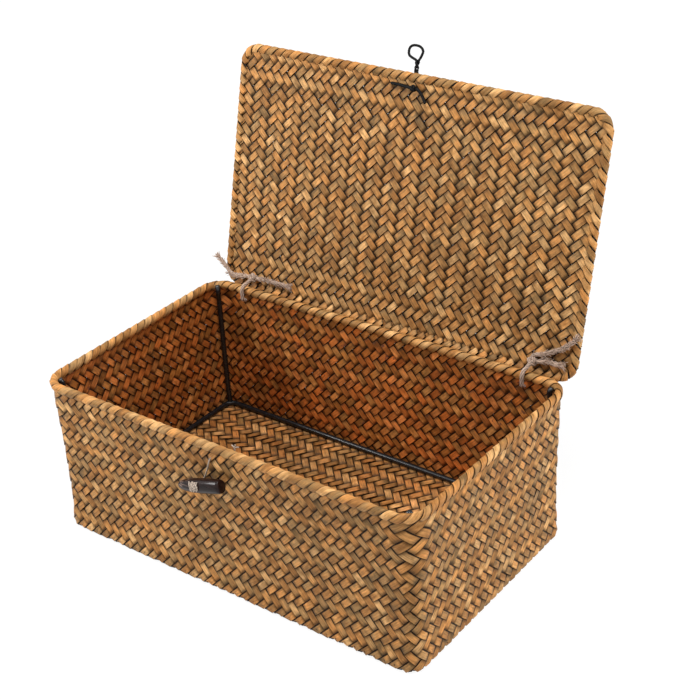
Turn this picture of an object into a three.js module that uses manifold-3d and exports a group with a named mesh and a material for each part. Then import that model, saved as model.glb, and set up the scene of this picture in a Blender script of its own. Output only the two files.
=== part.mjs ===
// Woven lidded box: a plaited seagrass body on a wire frame, with a plaited lid that hangs on two
// twine ties at the back and closes in front with a cord loop and a toggle.
// Millimetres, +Z up. The origin is the middle of the underside; the toggle side faces -Y.
import * as THREE from 'three';
import { mergeVertices } from 'three/addons/utils/BufferGeometryUtils.js';
import Module from 'manifold-3d';

const wasm = await Module();
wasm.setup();

// Body
const bodyLength = 338;
const bodyDepth = 202;
const bodyHeight = 130;
const rimCornerRadius = 20;
const baseLength = 330;
const baseDepth = 199;
const baseCornerRadius = 13;
const baseEdgeRadius = 3;
const hemThickness = 5;
const floorLift = 9;
const restLength = 120;
const restDepth = 56;
const waistInset = 2.9;
const waistHeight = 62;
const waistCornerRadius = 11.5;

// Plaited strips and frame wire
const weaveThickness = 3;
const stripThickness = 1.3;
const stripSpacing = 8.24;
const seamWidth = 2.6;
const seamDepth = 0.9;
const foldWidth = 8.5;
const wireDiameter = 3.2;
const frameWireDiameter = 4.2;
const clearance = 0.3;

// Lid and the line that it turns on
const lidLength = 332;
const lidDepth = 200.5;
const lidCornerRadius = 17;
const edgeBand = 34;
const lidGap = 0.4;
const openAngle = 104;
const axisInset = 1.1;
const axisDrop = 6.3;

// Twine ties at the back
const twineDiameter = 3;
const tieKnotRadius = 2.7;
const tieKnotLength = 6.6;
const leftTieInset = 35;
const rightTieInset = 38;

// Closing loop on the front of the lid
const cordDiameter = 1.7;
const cordTailDiameter = 2.3;
const cordKnotRadius = 1.9;
const cordKnotLength = 4.6;
const loopHoleX = 1.9;
const loopNeckX = -2;
const loopNeckLength = 6;
const loopHeight = 16.8;
const loopWidth = 12.4;
const loopLean = -2.2;

// Toggle and its thread
const threadDiameter = 1.2;
const threadExitX = -1.7;
const threadExitDrop = 3.6;
const threadDrop = 21.4;
const toggleLength = 42;
const toggleHeight = 11;
const toggleThickness = 10;
const toggleTilt = 17.5;
const toggleMiddleX = -7.7;
const toggleHoleOffset = -1.5;
const toggleHoleDiameter = 3;
const stitchDiameter = 5.2;
const stitchHeight = 1.5;

// Facets
const cornerSteps = 5;
const beadSteps = 6;
const wireSides = 8;
const cordSides = 7;

const looks = {
  weave: new THREE.MeshStandardMaterial({ color: 0xa9783f, roughness: 0.75, metalness: 0 }),
  fold: new THREE.MeshStandardMaterial({ color: 0xb98c52, roughness: 0.7, metalness: 0 }),
  wire: new THREE.MeshStandardMaterial({ color: 0x0c0c0d, roughness: 0.25, metalness: 0 }),
  twine: new THREE.MeshStandardMaterial({ color: 0xa58d7c, roughness: 0.95, metalness: 0 }),
  cord: new THREE.MeshStandardMaterial({ color: 0x090a0c, roughness: 0.6, metalness: 0 }),
  thread: new THREE.MeshStandardMaterial({ color: 0xd8c6a8, roughness: 0.9, metalness: 0 }),
  toggle: new THREE.MeshStandardMaterial({ color: 0x2a1510, roughness: 0.15, metalness: 0 }),
};

// Sizes that follow from the values above
const leftTieX = leftTieInset - bodyLength / 2;
const rightTieX = bodyLength / 2 - rightTieInset;
const wireRadius = wireDiameter / 2;
const frameWireRadius = frameWireDiameter / 2;
const twineRadius = twineDiameter / 2;
const cordRadius = cordDiameter / 2;
const cordTailRadius = cordTailDiameter / 2;
const threadRadius = threadDiameter / 2;
const foldCavity = Math.max(wireDiameter, weaveThickness) + 2 * clearance;
const foldThickness = foldCavity + 2 * stripThickness;
const beadRadius = foldThickness / 2;
const rimBeadZ = bodyHeight - beadRadius;
const wallTop = rimBeadZ - wireRadius - clearance;
const foldBottom = bodyHeight - foldWidth;
const hingeY = bodyDepth / 2 - axisInset;
const hingeZ = bodyHeight - axisDrop;
const lidMiddleZ = bodyHeight + lidGap + beadRadius;

function addMesh(group, name, geometry, material) {
  const mesh = new THREE.Mesh(geometry, material);
  mesh.name = name;
  group.add(mesh);
  return mesh;
}

// A round-cornered rectangle as a ring of points, counterclockwise seen from above
function roundedRing(halfLength, halfDepth, radius, z) {
  const corner = Math.max(radius, 0.5);
  const ring = [];
  for (let quarter = 0; quarter < 4; quarter += 1) {
    const sideX = quarter === 0 || quarter === 3 ? 1 : -1;
    const sideY = quarter < 2 ? 1 : -1;
    for (let step = 0; step <= cornerSteps; step += 1) {
      const angle = (quarter + step / cornerSteps) * Math.PI / 2;
      const x = sideX * (halfLength - corner) + corner * Math.cos(angle);
      const y = sideY * (halfDepth - corner) + corner * Math.sin(angle);
      ring.push(new THREE.Vector3(x, y, z));
    }
  }
  return ring;
}

// Skin between neighbouring rings. A closed skin joins its last ring to its first;
// an open one is capped flat at both ends.
function loft(rings, closed) {
  const count = rings[0].length;
  const positions = rings.flat().flatMap((point) => point.toArray());
  const indices = [];
  const spans = closed ? rings.length : rings.length - 1;
  for (let k = 0; k < spans; k += 1) {
    const lower = k * count;
    const upper = ((k + 1) % rings.length) * count;
    for (let i = 0; i < count; i += 1) {
      const next = (i + 1) % count;
      indices.push(lower + i, lower + next, upper + next);
      indices.push(lower + i, upper + next, upper + i);
    }
  }
  if (!closed) {
    const lastRing = (rings.length - 1) * count;
    const firstCentre = positions.length / 3;
    const lastCentre = firstCentre + 1;
    positions.push(0, 0, rings[0][0].z, 0, 0, rings[rings.length - 1][0].z);
    for (let i = 0; i < count; i += 1) {
      const next = (i + 1) % count;
      indices.push(firstCentre, next, i);
      indices.push(lastCentre, lastRing + i, lastRing + next);
    }
  }
  const geometry = new THREE.BufferGeometry();
  geometry.setAttribute('position', new THREE.Float32BufferAttribute(positions, 3));
  geometry.setIndex(indices);
  geometry.computeVertexNormals();
  return geometry;
}

// Points on an arc of a section: outward distance first, height second
function sectionArc(centreOut, centreZ, radius, fromDegrees, toDegrees, steps) {
  const points = [];
  for (let step = 0; step <= steps; step += 1) {
    const angle = THREE.MathUtils.degToRad(fromDegrees + (toDegrees - fromDegrees) * step / steps);
    points.push([centreOut + radius * Math.cos(angle), centreZ + radius * Math.sin(angle)]);
  }
  return points;
}

// A closed section carried round an outline; its outward distances are measured from that outline
function carryRound(outline, section) {
  const rings = section.map(([out, z]) => roundedRing(
    outline.halfLength + out,
    outline.halfDepth + out,
    outline.radius + out,
    z,
  ));
  return loft(rings, true);
}

function wireRing(outline, z, radius) {
  const full = 360 - 360 / wireSides;
  return carryRound(outline, sectionArc(0, z, radius, 0, full, wireSides - 1));
}

function offsetOutline(outline, out) {
  return {
    halfLength: outline.halfLength + out,
    halfDepth: outline.halfDepth + out,
    radius: outline.radius + out,
  };
}

// An open round or oval tube along hand-picked points
function tube(points, radius, sides, steps, flatness = 1) {
  const section = new THREE.Shape();
  for (let side = 0; side < sides; side += 1) {
    const angle = side / sides * 2 * Math.PI;
    const x = radius * Math.cos(angle);
    const y = radius * flatness * Math.sin(angle);
    if (side === 0) {
      section.moveTo(x, y);
    } else {
      section.lineTo(x, y);
    }
  }
  section.closePath();
  const path = new THREE.CatmullRomCurve3(points, false, 'centripetal');
  return new THREE.ExtrudeGeometry(section, { steps, extrudePath: path, bevelEnabled: false });
}

function toSolid(geometry) {
  const bare = geometry.clone();
  bare.deleteAttribute('normal');
  bare.deleteAttribute('uv');
  const merged = mergeVertices(bare, 1e-4);
  return new wasm.Manifold(new wasm.Mesh({
    numProp: 3,
    vertProperties: new Float32Array(merged.attributes.position.array),
    triVerts: new Uint32Array(merged.index.array),
  }));
}

function subtract(geometry, cutters) {
  let solid = toSolid(geometry);
  for (const cutter of cutters) {
    solid = solid.subtract(toSolid(cutter));
  }
  const mesh = solid.getMesh();
  const result = new THREE.BufferGeometry();
  result.setAttribute('position', new THREE.BufferAttribute(new Float32Array(mesh.vertProperties), 3));
  result.setIndex(new THREE.BufferAttribute(new Uint32Array(mesh.triVerts), 1));
  result.computeVertexNormals();
  return result;
}

// A short drill along Y, for holes through the weave
function drill(radius, x, y, z, length) {
  const cutter = new THREE.CylinderGeometry(radius, radius, length, 12);
  cutter.translate(x, y, z);
  return cutter;
}

// Outer face of the wall at a height: it flares to the base, is drawn in at the waist
// and stands straight again inside the folded rim.
const rimOutline = { halfLength: bodyLength / 2, halfDepth: bodyDepth / 2, radius: rimCornerRadius };
const wallInRim = offsetOutline(rimOutline, weaveThickness / 2 - beadRadius);

function wallOutline(z) {
  const waist = {
    halfLength: wallInRim.halfLength - waistInset,
    halfDepth: wallInRim.halfDepth - waistInset,
    radius: waistCornerRadius,
  };
  const base = { halfLength: baseLength / 2, halfDepth: baseDepth / 2, radius: baseCornerRadius };
  const below = z < waistHeight;
  const rise = THREE.MathUtils.clamp((z - baseEdgeRadius) / (waistHeight - baseEdgeRadius), 0, 1);
  const blend = below ? (1 - rise) ** 4 : THREE.MathUtils.smoothstep(z, waistHeight, foldBottom);
  const towards = below ? base : wallInRim;
  return {
    halfLength: THREE.MathUtils.lerp(waist.halfLength, towards.halfLength, blend),
    halfDepth: THREE.MathUtils.lerp(waist.halfDepth, towards.halfDepth, blend),
    radius: THREE.MathUtils.lerp(waist.radius, towards.radius, blend),
  };
}

function wallRing(z, inward) {
  const outline = offsetOutline(wallOutline(z), -inward);
  return roundedRing(outline.halfLength, outline.halfDepth, outline.radius, z);
}

// Places between two others where rows or columns of the plait meet and its strips dive under each other,
// a quarter short of each full spacing
function seamPlaces(from, to) {
  const places = [];
  for (let count = Math.ceil(from / stripSpacing + 0.25); (count - 0.25) * stripSpacing < to; count += 1) {
    places.push((count - 0.25) * stripSpacing);
  }
  return places;
}

// Stations of the wall, each a height and a depth into its face: a shallow groove at the seam of each row
function wallStations(bottom) {
  const grooves = seamPlaces(0, foldBottom - baseEdgeRadius - seamWidth).flatMap((seam) => {
    const z = baseEdgeRadius + seam;
    return [[z - seamWidth / 2, 0], [z, seamDepth], [z + seamWidth / 2, 0]];
  });
  const stations = [...grooves, [foldBottom, 0], [wallTop, 0]];
  return [[bottom, 0], ...stations.filter(([z]) => z > bottom + clearance)];
}

// Ties: each loop goes through the wall under the rim and through the lid beside its border
const tieHoleZ = foldBottom - twineDiameter - 2 * clearance;
const tieHoleRadius = twineRadius + clearance;
const lidOverhang = lidDepth / 2 - bodyDepth / 2;
const knotLine = Math.max(lidOverhang + foldThickness, foldWidth) + 2 * clearance;
const tieSetback = knotLine + tieKnotRadius;
const loopSetback = knotLine + cordKnotRadius;
const threadExitZ = foldBottom - threadExitDrop;
const threadY = -(wallOutline(threadExitZ).halfDepth + clearance + threadRadius);

// The floor hangs from the walls a little above the ground and sags to a flat resting patch.
// Its rings run from the patch, at share 0, out to the given edge, at share 1.
function floorRings(edge, z) {
  return [0, 0.25, 0.5, 0.75, 1].map((share) => roundedRing(
    THREE.MathUtils.lerp(restLength / 2, edge.halfLength, share),
    THREE.MathUtils.lerp(restDepth / 2, edge.halfDepth, share),
    THREE.MathUtils.lerp(restDepth / 4, edge.radius, share),
    z + floorLift * THREE.MathUtils.smoothstep(share, 0, 1),
  ));
}

const floorTop = floorLift + weaveThickness;

function makeBody() {
  const base = wallOutline(0);
  const hem = offsetOutline(base, -hemThickness);
  const underside = floorRings(hem, 0);
  const edge = sectionArc(-baseEdgeRadius, baseEdgeRadius, baseEdgeRadius, -90, 0, 3);
  const edgeRings = [[-hemThickness, 0], ...edge.slice(0, -1)].map(([out, z]) => {
    const outline = offsetOutline(base, out);
    return roundedRing(outline.halfLength, outline.halfDepth, outline.radius, z);
  });
  const outerRings = wallStations(baseEdgeRadius).map(([z, depth]) => wallRing(z, depth));
  const innerStations = wallStations(floorTop).reverse();
  const innerRings = innerStations.map(([z, depth]) => wallRing(z, weaveThickness - depth));
  const floor = floorRings(offsetOutline(wallOutline(floorTop), -weaveThickness), weaveThickness);
  const inside = floor.reverse().slice(1);
  const shell = loft([...underside, ...edgeRings, ...outerRings, ...innerRings, ...inside], false);
  const reach = 6 * weaveThickness;
  const backY = wallOutline(tieHoleZ).halfDepth;
  const threadHole = drill(threadRadius + clearance, threadExitX, threadY, threadExitZ, reach);
  const tieHoles = [leftTieX, rightTieX].map((x) => drill(tieHoleRadius, x, backY, tieHoleZ, reach));
  return subtract(shell, [...tieHoles, threadHole]);
}

// Strip ends folded down over the rim wire, gripping the top of the wall on both sides
function makeRim() {
  const section = [
    [0, foldBottom],
    ...sectionArc(-beadRadius, rimBeadZ, beadRadius, 0, 180, beadSteps),
    [-foldThickness, foldBottom],
    [stripThickness - foldThickness, foldBottom],
    ...sectionArc(-beadRadius, rimBeadZ, foldCavity / 2, 180, 0, beadSteps),
    [-stripThickness, foldBottom],
  ];
  return carryRound(rimOutline, section);
}

const wireInset = weaveThickness + clearance + frameWireRadius;
const floorWireZ = floorTop + clearance + frameWireRadius;

function floorWireOutline() {
  return offsetOutline(wallOutline(floorWireZ), -wireInset);
}

// Upright in a corner, standing on the floor wire and following the wall up to the rim
function makePost(sideX, sideY) {
  const bottom = floorWireZ + frameWireRadius + clearance;
  const top = foldBottom - clearance;
  const heights = [0, 0.1, 0.25, 0.5, 0.75, 1].map((share) => THREE.MathUtils.lerp(bottom, top, share));
  const points = heights.map((z) => {
    const line = offsetOutline(wallOutline(z), -wireInset);
    const reach = line.radius * (1 - Math.SQRT1_2);
    return new THREE.Vector3(sideX * (line.halfLength - reach), sideY * (line.halfDepth - reach), z);
  });
  return tube(points, frameWireRadius, wireSides, 10);
}

// A point of the closed lid in the lid's own frame, whose origin is on the hinge line:
// x across, setback from the back edge, and height above the lid's middle towards the inside
function lidPoint(x, setback, inside) {
  return new THREE.Vector3(x, lidDepth / 2 - setback - hingeY, lidMiddleZ - inside - hingeZ);
}

const lidGroup = new THREE.Group();
lidGroup.position.set(0, hingeY, hingeZ);
lidGroup.rotation.x = -THREE.MathUtils.degToRad(openAngle);
lidGroup.updateMatrix();

// The same point in the box's frame, with the lid standing open
function openLidPoint(x, setback, inside) {
  return lidPoint(x, setback, inside).applyMatrix4(lidGroup.matrix);
}

const lidOutline = { halfLength: lidLength / 2, halfDepth: lidDepth / 2, radius: lidCornerRadius };
const lidInside = weaveThickness / 2;

function placeOnLid(geometry) {
  return geometry.translate(0, -hingeY, lidMiddleZ - hingeZ);
}

// Cutters for a seam in both faces of the lid panel; turned by 0 it runs from the front to the back
function seamCutters(length, turn, x, y) {
  const wedge = new THREE.Shape([
    new THREE.Vector2(0, -seamDepth),
    new THREE.Vector2(seamWidth, seamDepth),
    new THREE.Vector2(-seamWidth, seamDepth),
  ]);
  return [0, Math.PI].map((flip) => {
    const cutter = new THREE.ExtrudeGeometry(wedge, { depth: length, bevelEnabled: false });
    cutter.translate(0, 0, -length / 2);
    cutter.rotateX(Math.PI / 2);
    cutter.translate(0, 0, lidInside);
    cutter.rotateY(flip);
    cutter.rotateZ(turn);
    return cutter.translate(x, y, 0);
  });
}

// The plait stands in columns in the lid's middle and in rows along its front and back edges
function lidSeams(line) {
  const middle = lidDepth / 2 - edgeBand;
  const sideReach = line.halfLength - seamWidth;
  const columns = seamPlaces(-sideReach, sideReach).flatMap((x) => seamCutters(2 * middle, 0, x, 0));
  const rows = seamPlaces(middle + seamWidth, line.halfDepth - seamWidth).flatMap((y) => [
    ...seamCutters(lidLength, Math.PI / 2, 0, y),
    ...seamCutters(lidLength, Math.PI / 2, 0, -y),
  ]);
  return [...columns, ...rows];
}

function makeLidPanel() {
  const line = offsetOutline(lidOutline, -(beadRadius + wireRadius + clearance));
  const edge = roundedRing(line.halfLength, line.halfDepth, line.radius, 0);
  const panel = new THREE.Shape(edge.map((point) => new THREE.Vector2(point.x, point.y)));
  const addHole = (x, y, radius) => {
    const hole = new THREE.Path();
    for (let side = 0; side < 12; side += 1) {
      const angle = -side / 12 * 2 * Math.PI;
      hole[side ? 'lineTo' : 'moveTo'](x + radius * Math.cos(angle), y + radius * Math.sin(angle));
    }
    hole.closePath();
    panel.holes.push(hole);
  };
  addHole(leftTieX, lidDepth / 2 - tieSetback, tieHoleRadius);
  addHole(rightTieX, lidDepth / 2 - tieSetback, tieHoleRadius);
  addHole(loopHoleX, loopSetback - lidDepth / 2, cordDiameter + clearance);
  const plate = new THREE.ExtrudeGeometry(panel, { depth: weaveThickness, bevelEnabled: false });
  plate.translate(0, 0, -lidInside);
  return placeOnLid(subtract(plate, lidSeams(line)));
}

function makeLidBorder() {
  const section = [
    [-foldWidth, -beadRadius],
    ...sectionArc(-beadRadius, 0, beadRadius, -90, 90, beadSteps),
    [-foldWidth, beadRadius],
    [-foldWidth, foldCavity / 2],
    ...sectionArc(-beadRadius, 0, foldCavity / 2, 90, -90, beadSteps),
    [-foldWidth, -foldCavity / 2],
  ];
  return placeOnLid(carryRound(lidOutline, section));
}

// A knot: a barrel of two turns, lying along X
function makeKnot(radius, length, centre) {
  const half = length / 2;
  const profile = [[0, -1], [0.7, -0.9], [1, -0.5], [0.84, 0], [1, 0.5], [0.7, 0.9], [0, 1]];
  const points = profile.map(([out, along]) => new THREE.Vector2(out * radius, along * half));
  const knot = new THREE.LatheGeometry(points, 12);
  knot.rotateZ(-Math.PI / 2);
  knot.translate(centre.x, centre.y, centre.z);
  return knot;
}

const tieKnotInside = lidInside + clearance + tieKnotRadius;
const cordKnotInside = lidInside + clearance + cordKnotRadius;

// Twine from the knot over the rim, in through the wall, round the back of the lid's border
// and through the lid to the knot again
function makeTieLoop(x) {
  const around = beadRadius + clearance + twineRadius;
  const rimY = bodyDepth / 2 - beadRadius;
  const wall = wallOutline(tieHoleZ).halfDepth;
  const overRim = (degrees) => {
    const angle = THREE.MathUtils.degToRad(degrees);
    return new THREE.Vector3(x, rimY + around * Math.cos(angle), rimBeadZ + around * Math.sin(angle));
  };
  const underLid = (degrees) => {
    const angle = THREE.MathUtils.degToRad(degrees);
    return openLidPoint(x, beadRadius - around * Math.cos(angle), -around * Math.sin(angle));
  };
  const knot = openLidPoint(x, tieSetback, tieKnotInside);
  const rimTop = overRim(75);
  const start = knot.clone().lerp(rimTop, (tieKnotRadius + clearance) / knot.distanceTo(rimTop));
  const innerWall = wall - weaveThickness;
  const points = [
    start,
    rimTop,
    overRim(105),
    overRim(140),
    overRim(175),
    new THREE.Vector3(x, rimY - around, foldBottom + twineRadius),
    new THREE.Vector3(x, rimY - around + clearance, tieHoleZ + 1.5 * twineRadius),
    new THREE.Vector3(x, innerWall, tieHoleZ),
    new THREE.Vector3(x, wall, tieHoleZ),
    new THREE.Vector3(x, wall + twineDiameter, tieHoleZ),
    underLid(40),
    underLid(65),
    underLid(90),
    openLidPoint(x, foldWidth, -around),
    openLidPoint(x, tieSetback - twineRadius / 2, -beadRadius),
    openLidPoint(x, tieSetback, -lidInside),
    openLidPoint(x, tieSetback, lidInside),
  ];
  return tube(points, twineRadius, cordSides, 42);
}

// Loose ends of the ties on the lid's inside, as steps from the knot:
// across, away from the back edge, and above the panel's face
function makeTail(x, steps, radius, setback) {
  const points = steps.map(([across, away, above]) => lidPoint(
    x + across,
    setback + away,
    lidInside + clearance + radius + above,
  ));
  return tube(points, radius, cordSides, 14);
}

const tailStart = tieKnotLength / 2 + clearance;
const tailRise = tieKnotRadius - twineRadius;
const borderRise = beadRadius - lidInside;
const leftEdge = -lidLength / 2 - leftTieX;
const rightEdge = lidLength / 2 - rightTieX;
const leftLongTail = [
  [-tailStart, 0, tailRise],
  [-8, -0.4, tailRise],
  [-16, -1.6, borderRise + 0.2],
  [leftEdge + foldWidth, -0.6, borderRise + 0.4],
  [leftEdge + 4, 3, borderRise + 0.4],
  [leftEdge - 3, 8.8, borderRise + 0.8],
];
const leftRimTail = [
  [tailStart, 0, tailRise],
  [8, 0.4, 0.5],
  [16, 1, 0],
  [26, 0.8, 0],
  [35.5, 1, 0],
];
const rightLongTail = [
  [0, tieKnotRadius + clearance, tailRise],
  [0, tieKnotRadius + twineRadius, tailRise],
  [2.5, 5.2, 0.5],
  [7.5, 7, 0],
  [14.5, 10.6, 0],
  [rightEdge - foldWidth - 2, 16.6, borderRise],
  [rightEdge - 6, 21, borderRise + 0.2],
  [rightEdge - 3, 24.4, borderRise + 0.2],
];
const rightShortTail = [
  [tailStart, 0, tailRise],
  [6.5, 1, 0.6],
  [12, 2.2, 0],
  [22, 2.4, 0],
];

// Closing loop: two strands twisted half a turn at the neck, then spread into a drop.
// It swings on the inner edge of its start, and the gap lets it lean back past the root.
const twistRadius = cordRadius + clearance / 2;
const loopStart = lidDepth + 2 * clearance + twistRadius + cordRadius;
const loopLevel = -(beadRadius + clearance + cordRadius);
const swingGap = 2 * clearance;

function makeLoop() {
  const straight = loopStart + cordRadius;
  const turned = [0, 45, 90, 135, 180].map((degrees) => {
    const angle = THREE.MathUtils.degToRad(degrees);
    const rise = straight + (loopNeckLength - cordRadius) * degrees / 180;
    return [twistRadius * Math.cos(angle), rise, twistRadius * Math.sin(angle)];
  });
  const neck = [[twistRadius, loopStart, 0], ...turned];
  const rising = neck.map(([across, rise, depth]) => lidPoint(loopNeckX + across, rise, loopLevel + depth));
  const falling = neck.map(([across, rise, depth]) => lidPoint(loopNeckX - across, rise, loopLevel - depth));
  const drop = [[-0.42, 0.25], [-0.5, 0.62], [-0.36, 0.9], [-0.06, 1], [0.3, 0.94], [0.5, 0.68], [0.4, 0.28]];
  const dropBottom = loopStart + loopNeckLength;
  const dropHeight = loopHeight - loopNeckLength;
  const spread = drop.map(([across, up]) => lidPoint(
    loopNeckX + loopLean + across * loopWidth,
    dropBottom + up * dropHeight,
    loopLevel,
  ));
  return tube([...rising, ...spread, ...falling.reverse()], cordRadius, cordSides, 54);
}

// Doubled cord from the knot through the lid and over the outside of the border to the neck
function makeLoopRoot() {
  const hole = lidDepth - loopSetback;
  const points = [
    lidPoint(loopHoleX, hole, lidInside),
    lidPoint(loopHoleX, hole, -lidInside),
    lidPoint(loopHoleX, hole + cordRadius, loopLevel + clearance),
    lidPoint(loopHoleX, hole + 2.5 * cordDiameter, loopLevel),
    lidPoint((loopHoleX + loopNeckX) / 2, lidDepth - 1.5 * beadRadius, loopLevel),
    lidPoint(loopNeckX, lidDepth - clearance, loopLevel),
    lidPoint(loopNeckX, loopStart - swingGap, loopLevel),
  ];
  return tube(points, cordDiameter, cordSides, 20, 0.5);
}

const cordTailStart = cordKnotLength / 2 + clearance;
const cordTailRise = cordKnotRadius - cordTailRadius;
const leftCordTail = [
  [-cordTailStart, 0, cordTailRise],
  [-6, 0.2, 0.4],
  [-12, 0.6, 0],
  [-20, 0.8, 0],
];
const rightCordTail = [
  [cordTailStart, 0, cordTailRise],
  [cordTailStart + cordTailRadius, -0.1, cordTailRise],
  [6.2, -2.2, 0.3],
  [8.8, -5.4, 0],
  [11.6, -9.5, 0],
];

// Toggle: a turned peg with a long taper at one end and a square cut at the other, flattened a little
function makeToggle() {
  const half = toggleLength / 2;
  const full = toggleHeight / 2;
  const profile = [
    [0, -1], [0.34, -0.99], [0.5, -0.94], [0.68, -0.8], [0.84, -0.58], [0.95, -0.3],
    [1, 0.05], [0.98, 0.6], [0.94, 0.9], [0.88, 0.98], [0.8, 1], [0, 1],
  ];
  const points = profile.map(([out, along]) => new THREE.Vector2(out * full, along * half));
  const peg = new THREE.LatheGeometry(points, 20);
  peg.rotateZ(-Math.PI / 2);
  peg.scale(1, toggleThickness / toggleHeight, 1);
  const tilt = THREE.MathUtils.degToRad(toggleTilt);
  peg.translate(-toggleHoleOffset, 0, 0);
  peg.rotateY(-tilt);
  return subtract(peg, [drill(toggleHoleDiameter / 2, 0, 0, 0, 2 * toggleThickness)]);
}

// Thread from the wall down behind the toggle and out through its hole
const toggleBackY = -(threadRadius + clearance);
const toggleFrontY = toggleBackY - toggleThickness;

function makeThread(holeX) {
  const points = [
    new THREE.Vector3(0, 0, 0),
    new THREE.Vector3(holeX * 0.35, 0, -threadDrop * 0.35),
    new THREE.Vector3(holeX * 0.8, 0, -threadDrop * 0.75),
    new THREE.Vector3(holeX, 0, -threadDrop + 2.5 * threadDiameter),
    new THREE.Vector3(holeX, toggleBackY / 2, -threadDrop + threadDiameter),
    new THREE.Vector3(holeX, toggleBackY - threadDiameter, -threadDrop + 0.2 * threadRadius),
    new THREE.Vector3(holeX, toggleBackY - toggleThickness / 2, -threadDrop),
    new THREE.Vector3(holeX, toggleFrontY, -threadDrop),
  ];
  return tube(points, threadRadius, cordSides, 26);
}

// The same thread inside the wall: in through the hole, along the wall and up beside the rim to its cut end
function makeAnchor() {
  const outerY = -wallOutline(threadExitZ).halfDepth;
  const innerY = outerY + weaveThickness + clearance + threadRadius;
  const points = [
    new THREE.Vector3(threadExitX, outerY, threadExitZ),
    new THREE.Vector3(threadExitX, outerY + weaveThickness, threadExitZ),
    new THREE.Vector3(threadExitX + threadRadius, innerY + threadRadius, threadExitZ),
    new THREE.Vector3(threadExitX + 3 * threadDiameter, innerY + threadDiameter, threadExitZ),
    new THREE.Vector3(threadExitX + 12, innerY + threadDiameter, threadExitZ + 0.6),
    new THREE.Vector3(threadExitX + 15.5, innerY + foldThickness / 2, foldBottom),
    new THREE.Vector3(threadExitX + 17, innerY + foldThickness / 2, bodyHeight - 2 * threadDiameter),
  ];
  return tube(points, threadRadius, cordSides, 16);
}

function makeStitch() {
  const half = stitchDiameter / 2;
  const points = [[0, 0], [half, 0], [half * 0.86, stitchHeight * 0.6], [half * 0.4, stitchHeight]];
  const profile = [...points, [0, stitchHeight]].map(([out, up]) => new THREE.Vector2(out, up));
  const stitch = new THREE.LatheGeometry(profile, 14);
  stitch.rotateX(Math.PI);
  stitch.translate(0, -toggleThickness / 2 - clearance, 0);
  return stitch;
}

const box = new THREE.Group();
box.name = 'woven_lidded_box';

// Body on its wire frame
addMesh(box, 'woven_body', makeBody(), looks.weave);
addMesh(box, 'body_rim', makeRim(), looks.fold);
addMesh(box, 'rim_wire', wireRing(offsetOutline(rimOutline, -beadRadius), rimBeadZ, wireRadius), looks.wire);
addMesh(box, 'floor_wire', wireRing(floorWireOutline(), floorWireZ, frameWireRadius), looks.wire);
addMesh(box, 'post_front_left', makePost(-1, -1), looks.wire);
addMesh(box, 'post_front_right', makePost(1, -1), looks.wire);
addMesh(box, 'post_back_left', makePost(-1, 1), looks.wire);
addMesh(box, 'post_back_right', makePost(1, 1), looks.wire);
addMesh(box, 'left_tie_loop', makeTieLoop(leftTieX), looks.twine);
addMesh(box, 'right_tie_loop', makeTieLoop(rightTieX), looks.twine);
addMesh(box, 'thread_anchor', makeAnchor(), looks.thread);

// Lid, modelled shut in its own frame and turned open on the ties
const lidWireLine = offsetOutline(lidOutline, -beadRadius);
const loopKnot = lidPoint(loopHoleX, lidDepth - loopSetback, cordKnotInside);
const loopKnotSetback = lidDepth - loopSetback;
addMesh(lidGroup, 'lid_panel', makeLidPanel(), looks.weave);
addMesh(lidGroup, 'lid_border', makeLidBorder(), looks.fold);
addMesh(lidGroup, 'lid_wire', placeOnLid(wireRing(lidWireLine, 0, wireRadius)), looks.wire);
for (const [side, x] of [['left', leftTieX], ['right', rightTieX]]) {
  const centre = lidPoint(x, tieSetback, tieKnotInside);
  addMesh(lidGroup, `${side}_tie_knot`, makeKnot(tieKnotRadius, tieKnotLength, centre), looks.twine);
}
const tieTails = [
  ['left_tie_long_tail', leftTieX, leftLongTail],
  ['left_tie_rim_tail', leftTieX, leftRimTail],
  ['right_tie_long_tail', rightTieX, rightLongTail],
  ['right_tie_short_tail', rightTieX, rightShortTail],
];
for (const [name, x, steps] of tieTails) {
  addMesh(lidGroup, name, makeTail(x, steps, twineRadius, tieSetback), looks.twine);
}
addMesh(lidGroup, 'loop_knot', makeKnot(cordKnotRadius, cordKnotLength, loopKnot), looks.cord);
for (const [side, steps] of [['left', leftCordTail], ['right', rightCordTail]]) {
  const tail = makeTail(loopHoleX, steps, cordTailRadius, loopKnotSetback);
  addMesh(lidGroup, `loop_tail_${side}`, tail, looks.cord);
}
addMesh(lidGroup, 'loop_root', makeLoopRoot(), looks.cord);
addMesh(lidGroup, 'closing_loop', makeLoop(), looks.cord);
box.add(lidGroup);

// Toggle hanging on its thread against the front wall
const tiltRadians = THREE.MathUtils.degToRad(toggleTilt);
const holeX = toggleMiddleX + toggleHoleOffset * Math.cos(tiltRadians) - threadExitX;
const threadGroup = new THREE.Group();
threadGroup.position.set(threadExitX, threadY, threadExitZ);
const toggleGroup = new THREE.Group();
toggleGroup.position.set(holeX, toggleBackY - toggleThickness / 2, -threadDrop);
addMesh(threadGroup, 'toggle_thread', makeThread(holeX), looks.thread);
addMesh(toggleGroup, 'toggle_peg', makeToggle(), looks.toggle);
addMesh(toggleGroup, 'toggle_stitch', makeStitch(), looks.thread);
threadGroup.add(toggleGroup);
box.add(threadGroup);

export default box;
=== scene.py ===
import math
import random

import bmesh
import bpy
from bpy.props import FloatProperty, FloatVectorProperty, IntProperty, PointerProperty
from mathutils import Matrix, Vector


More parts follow.
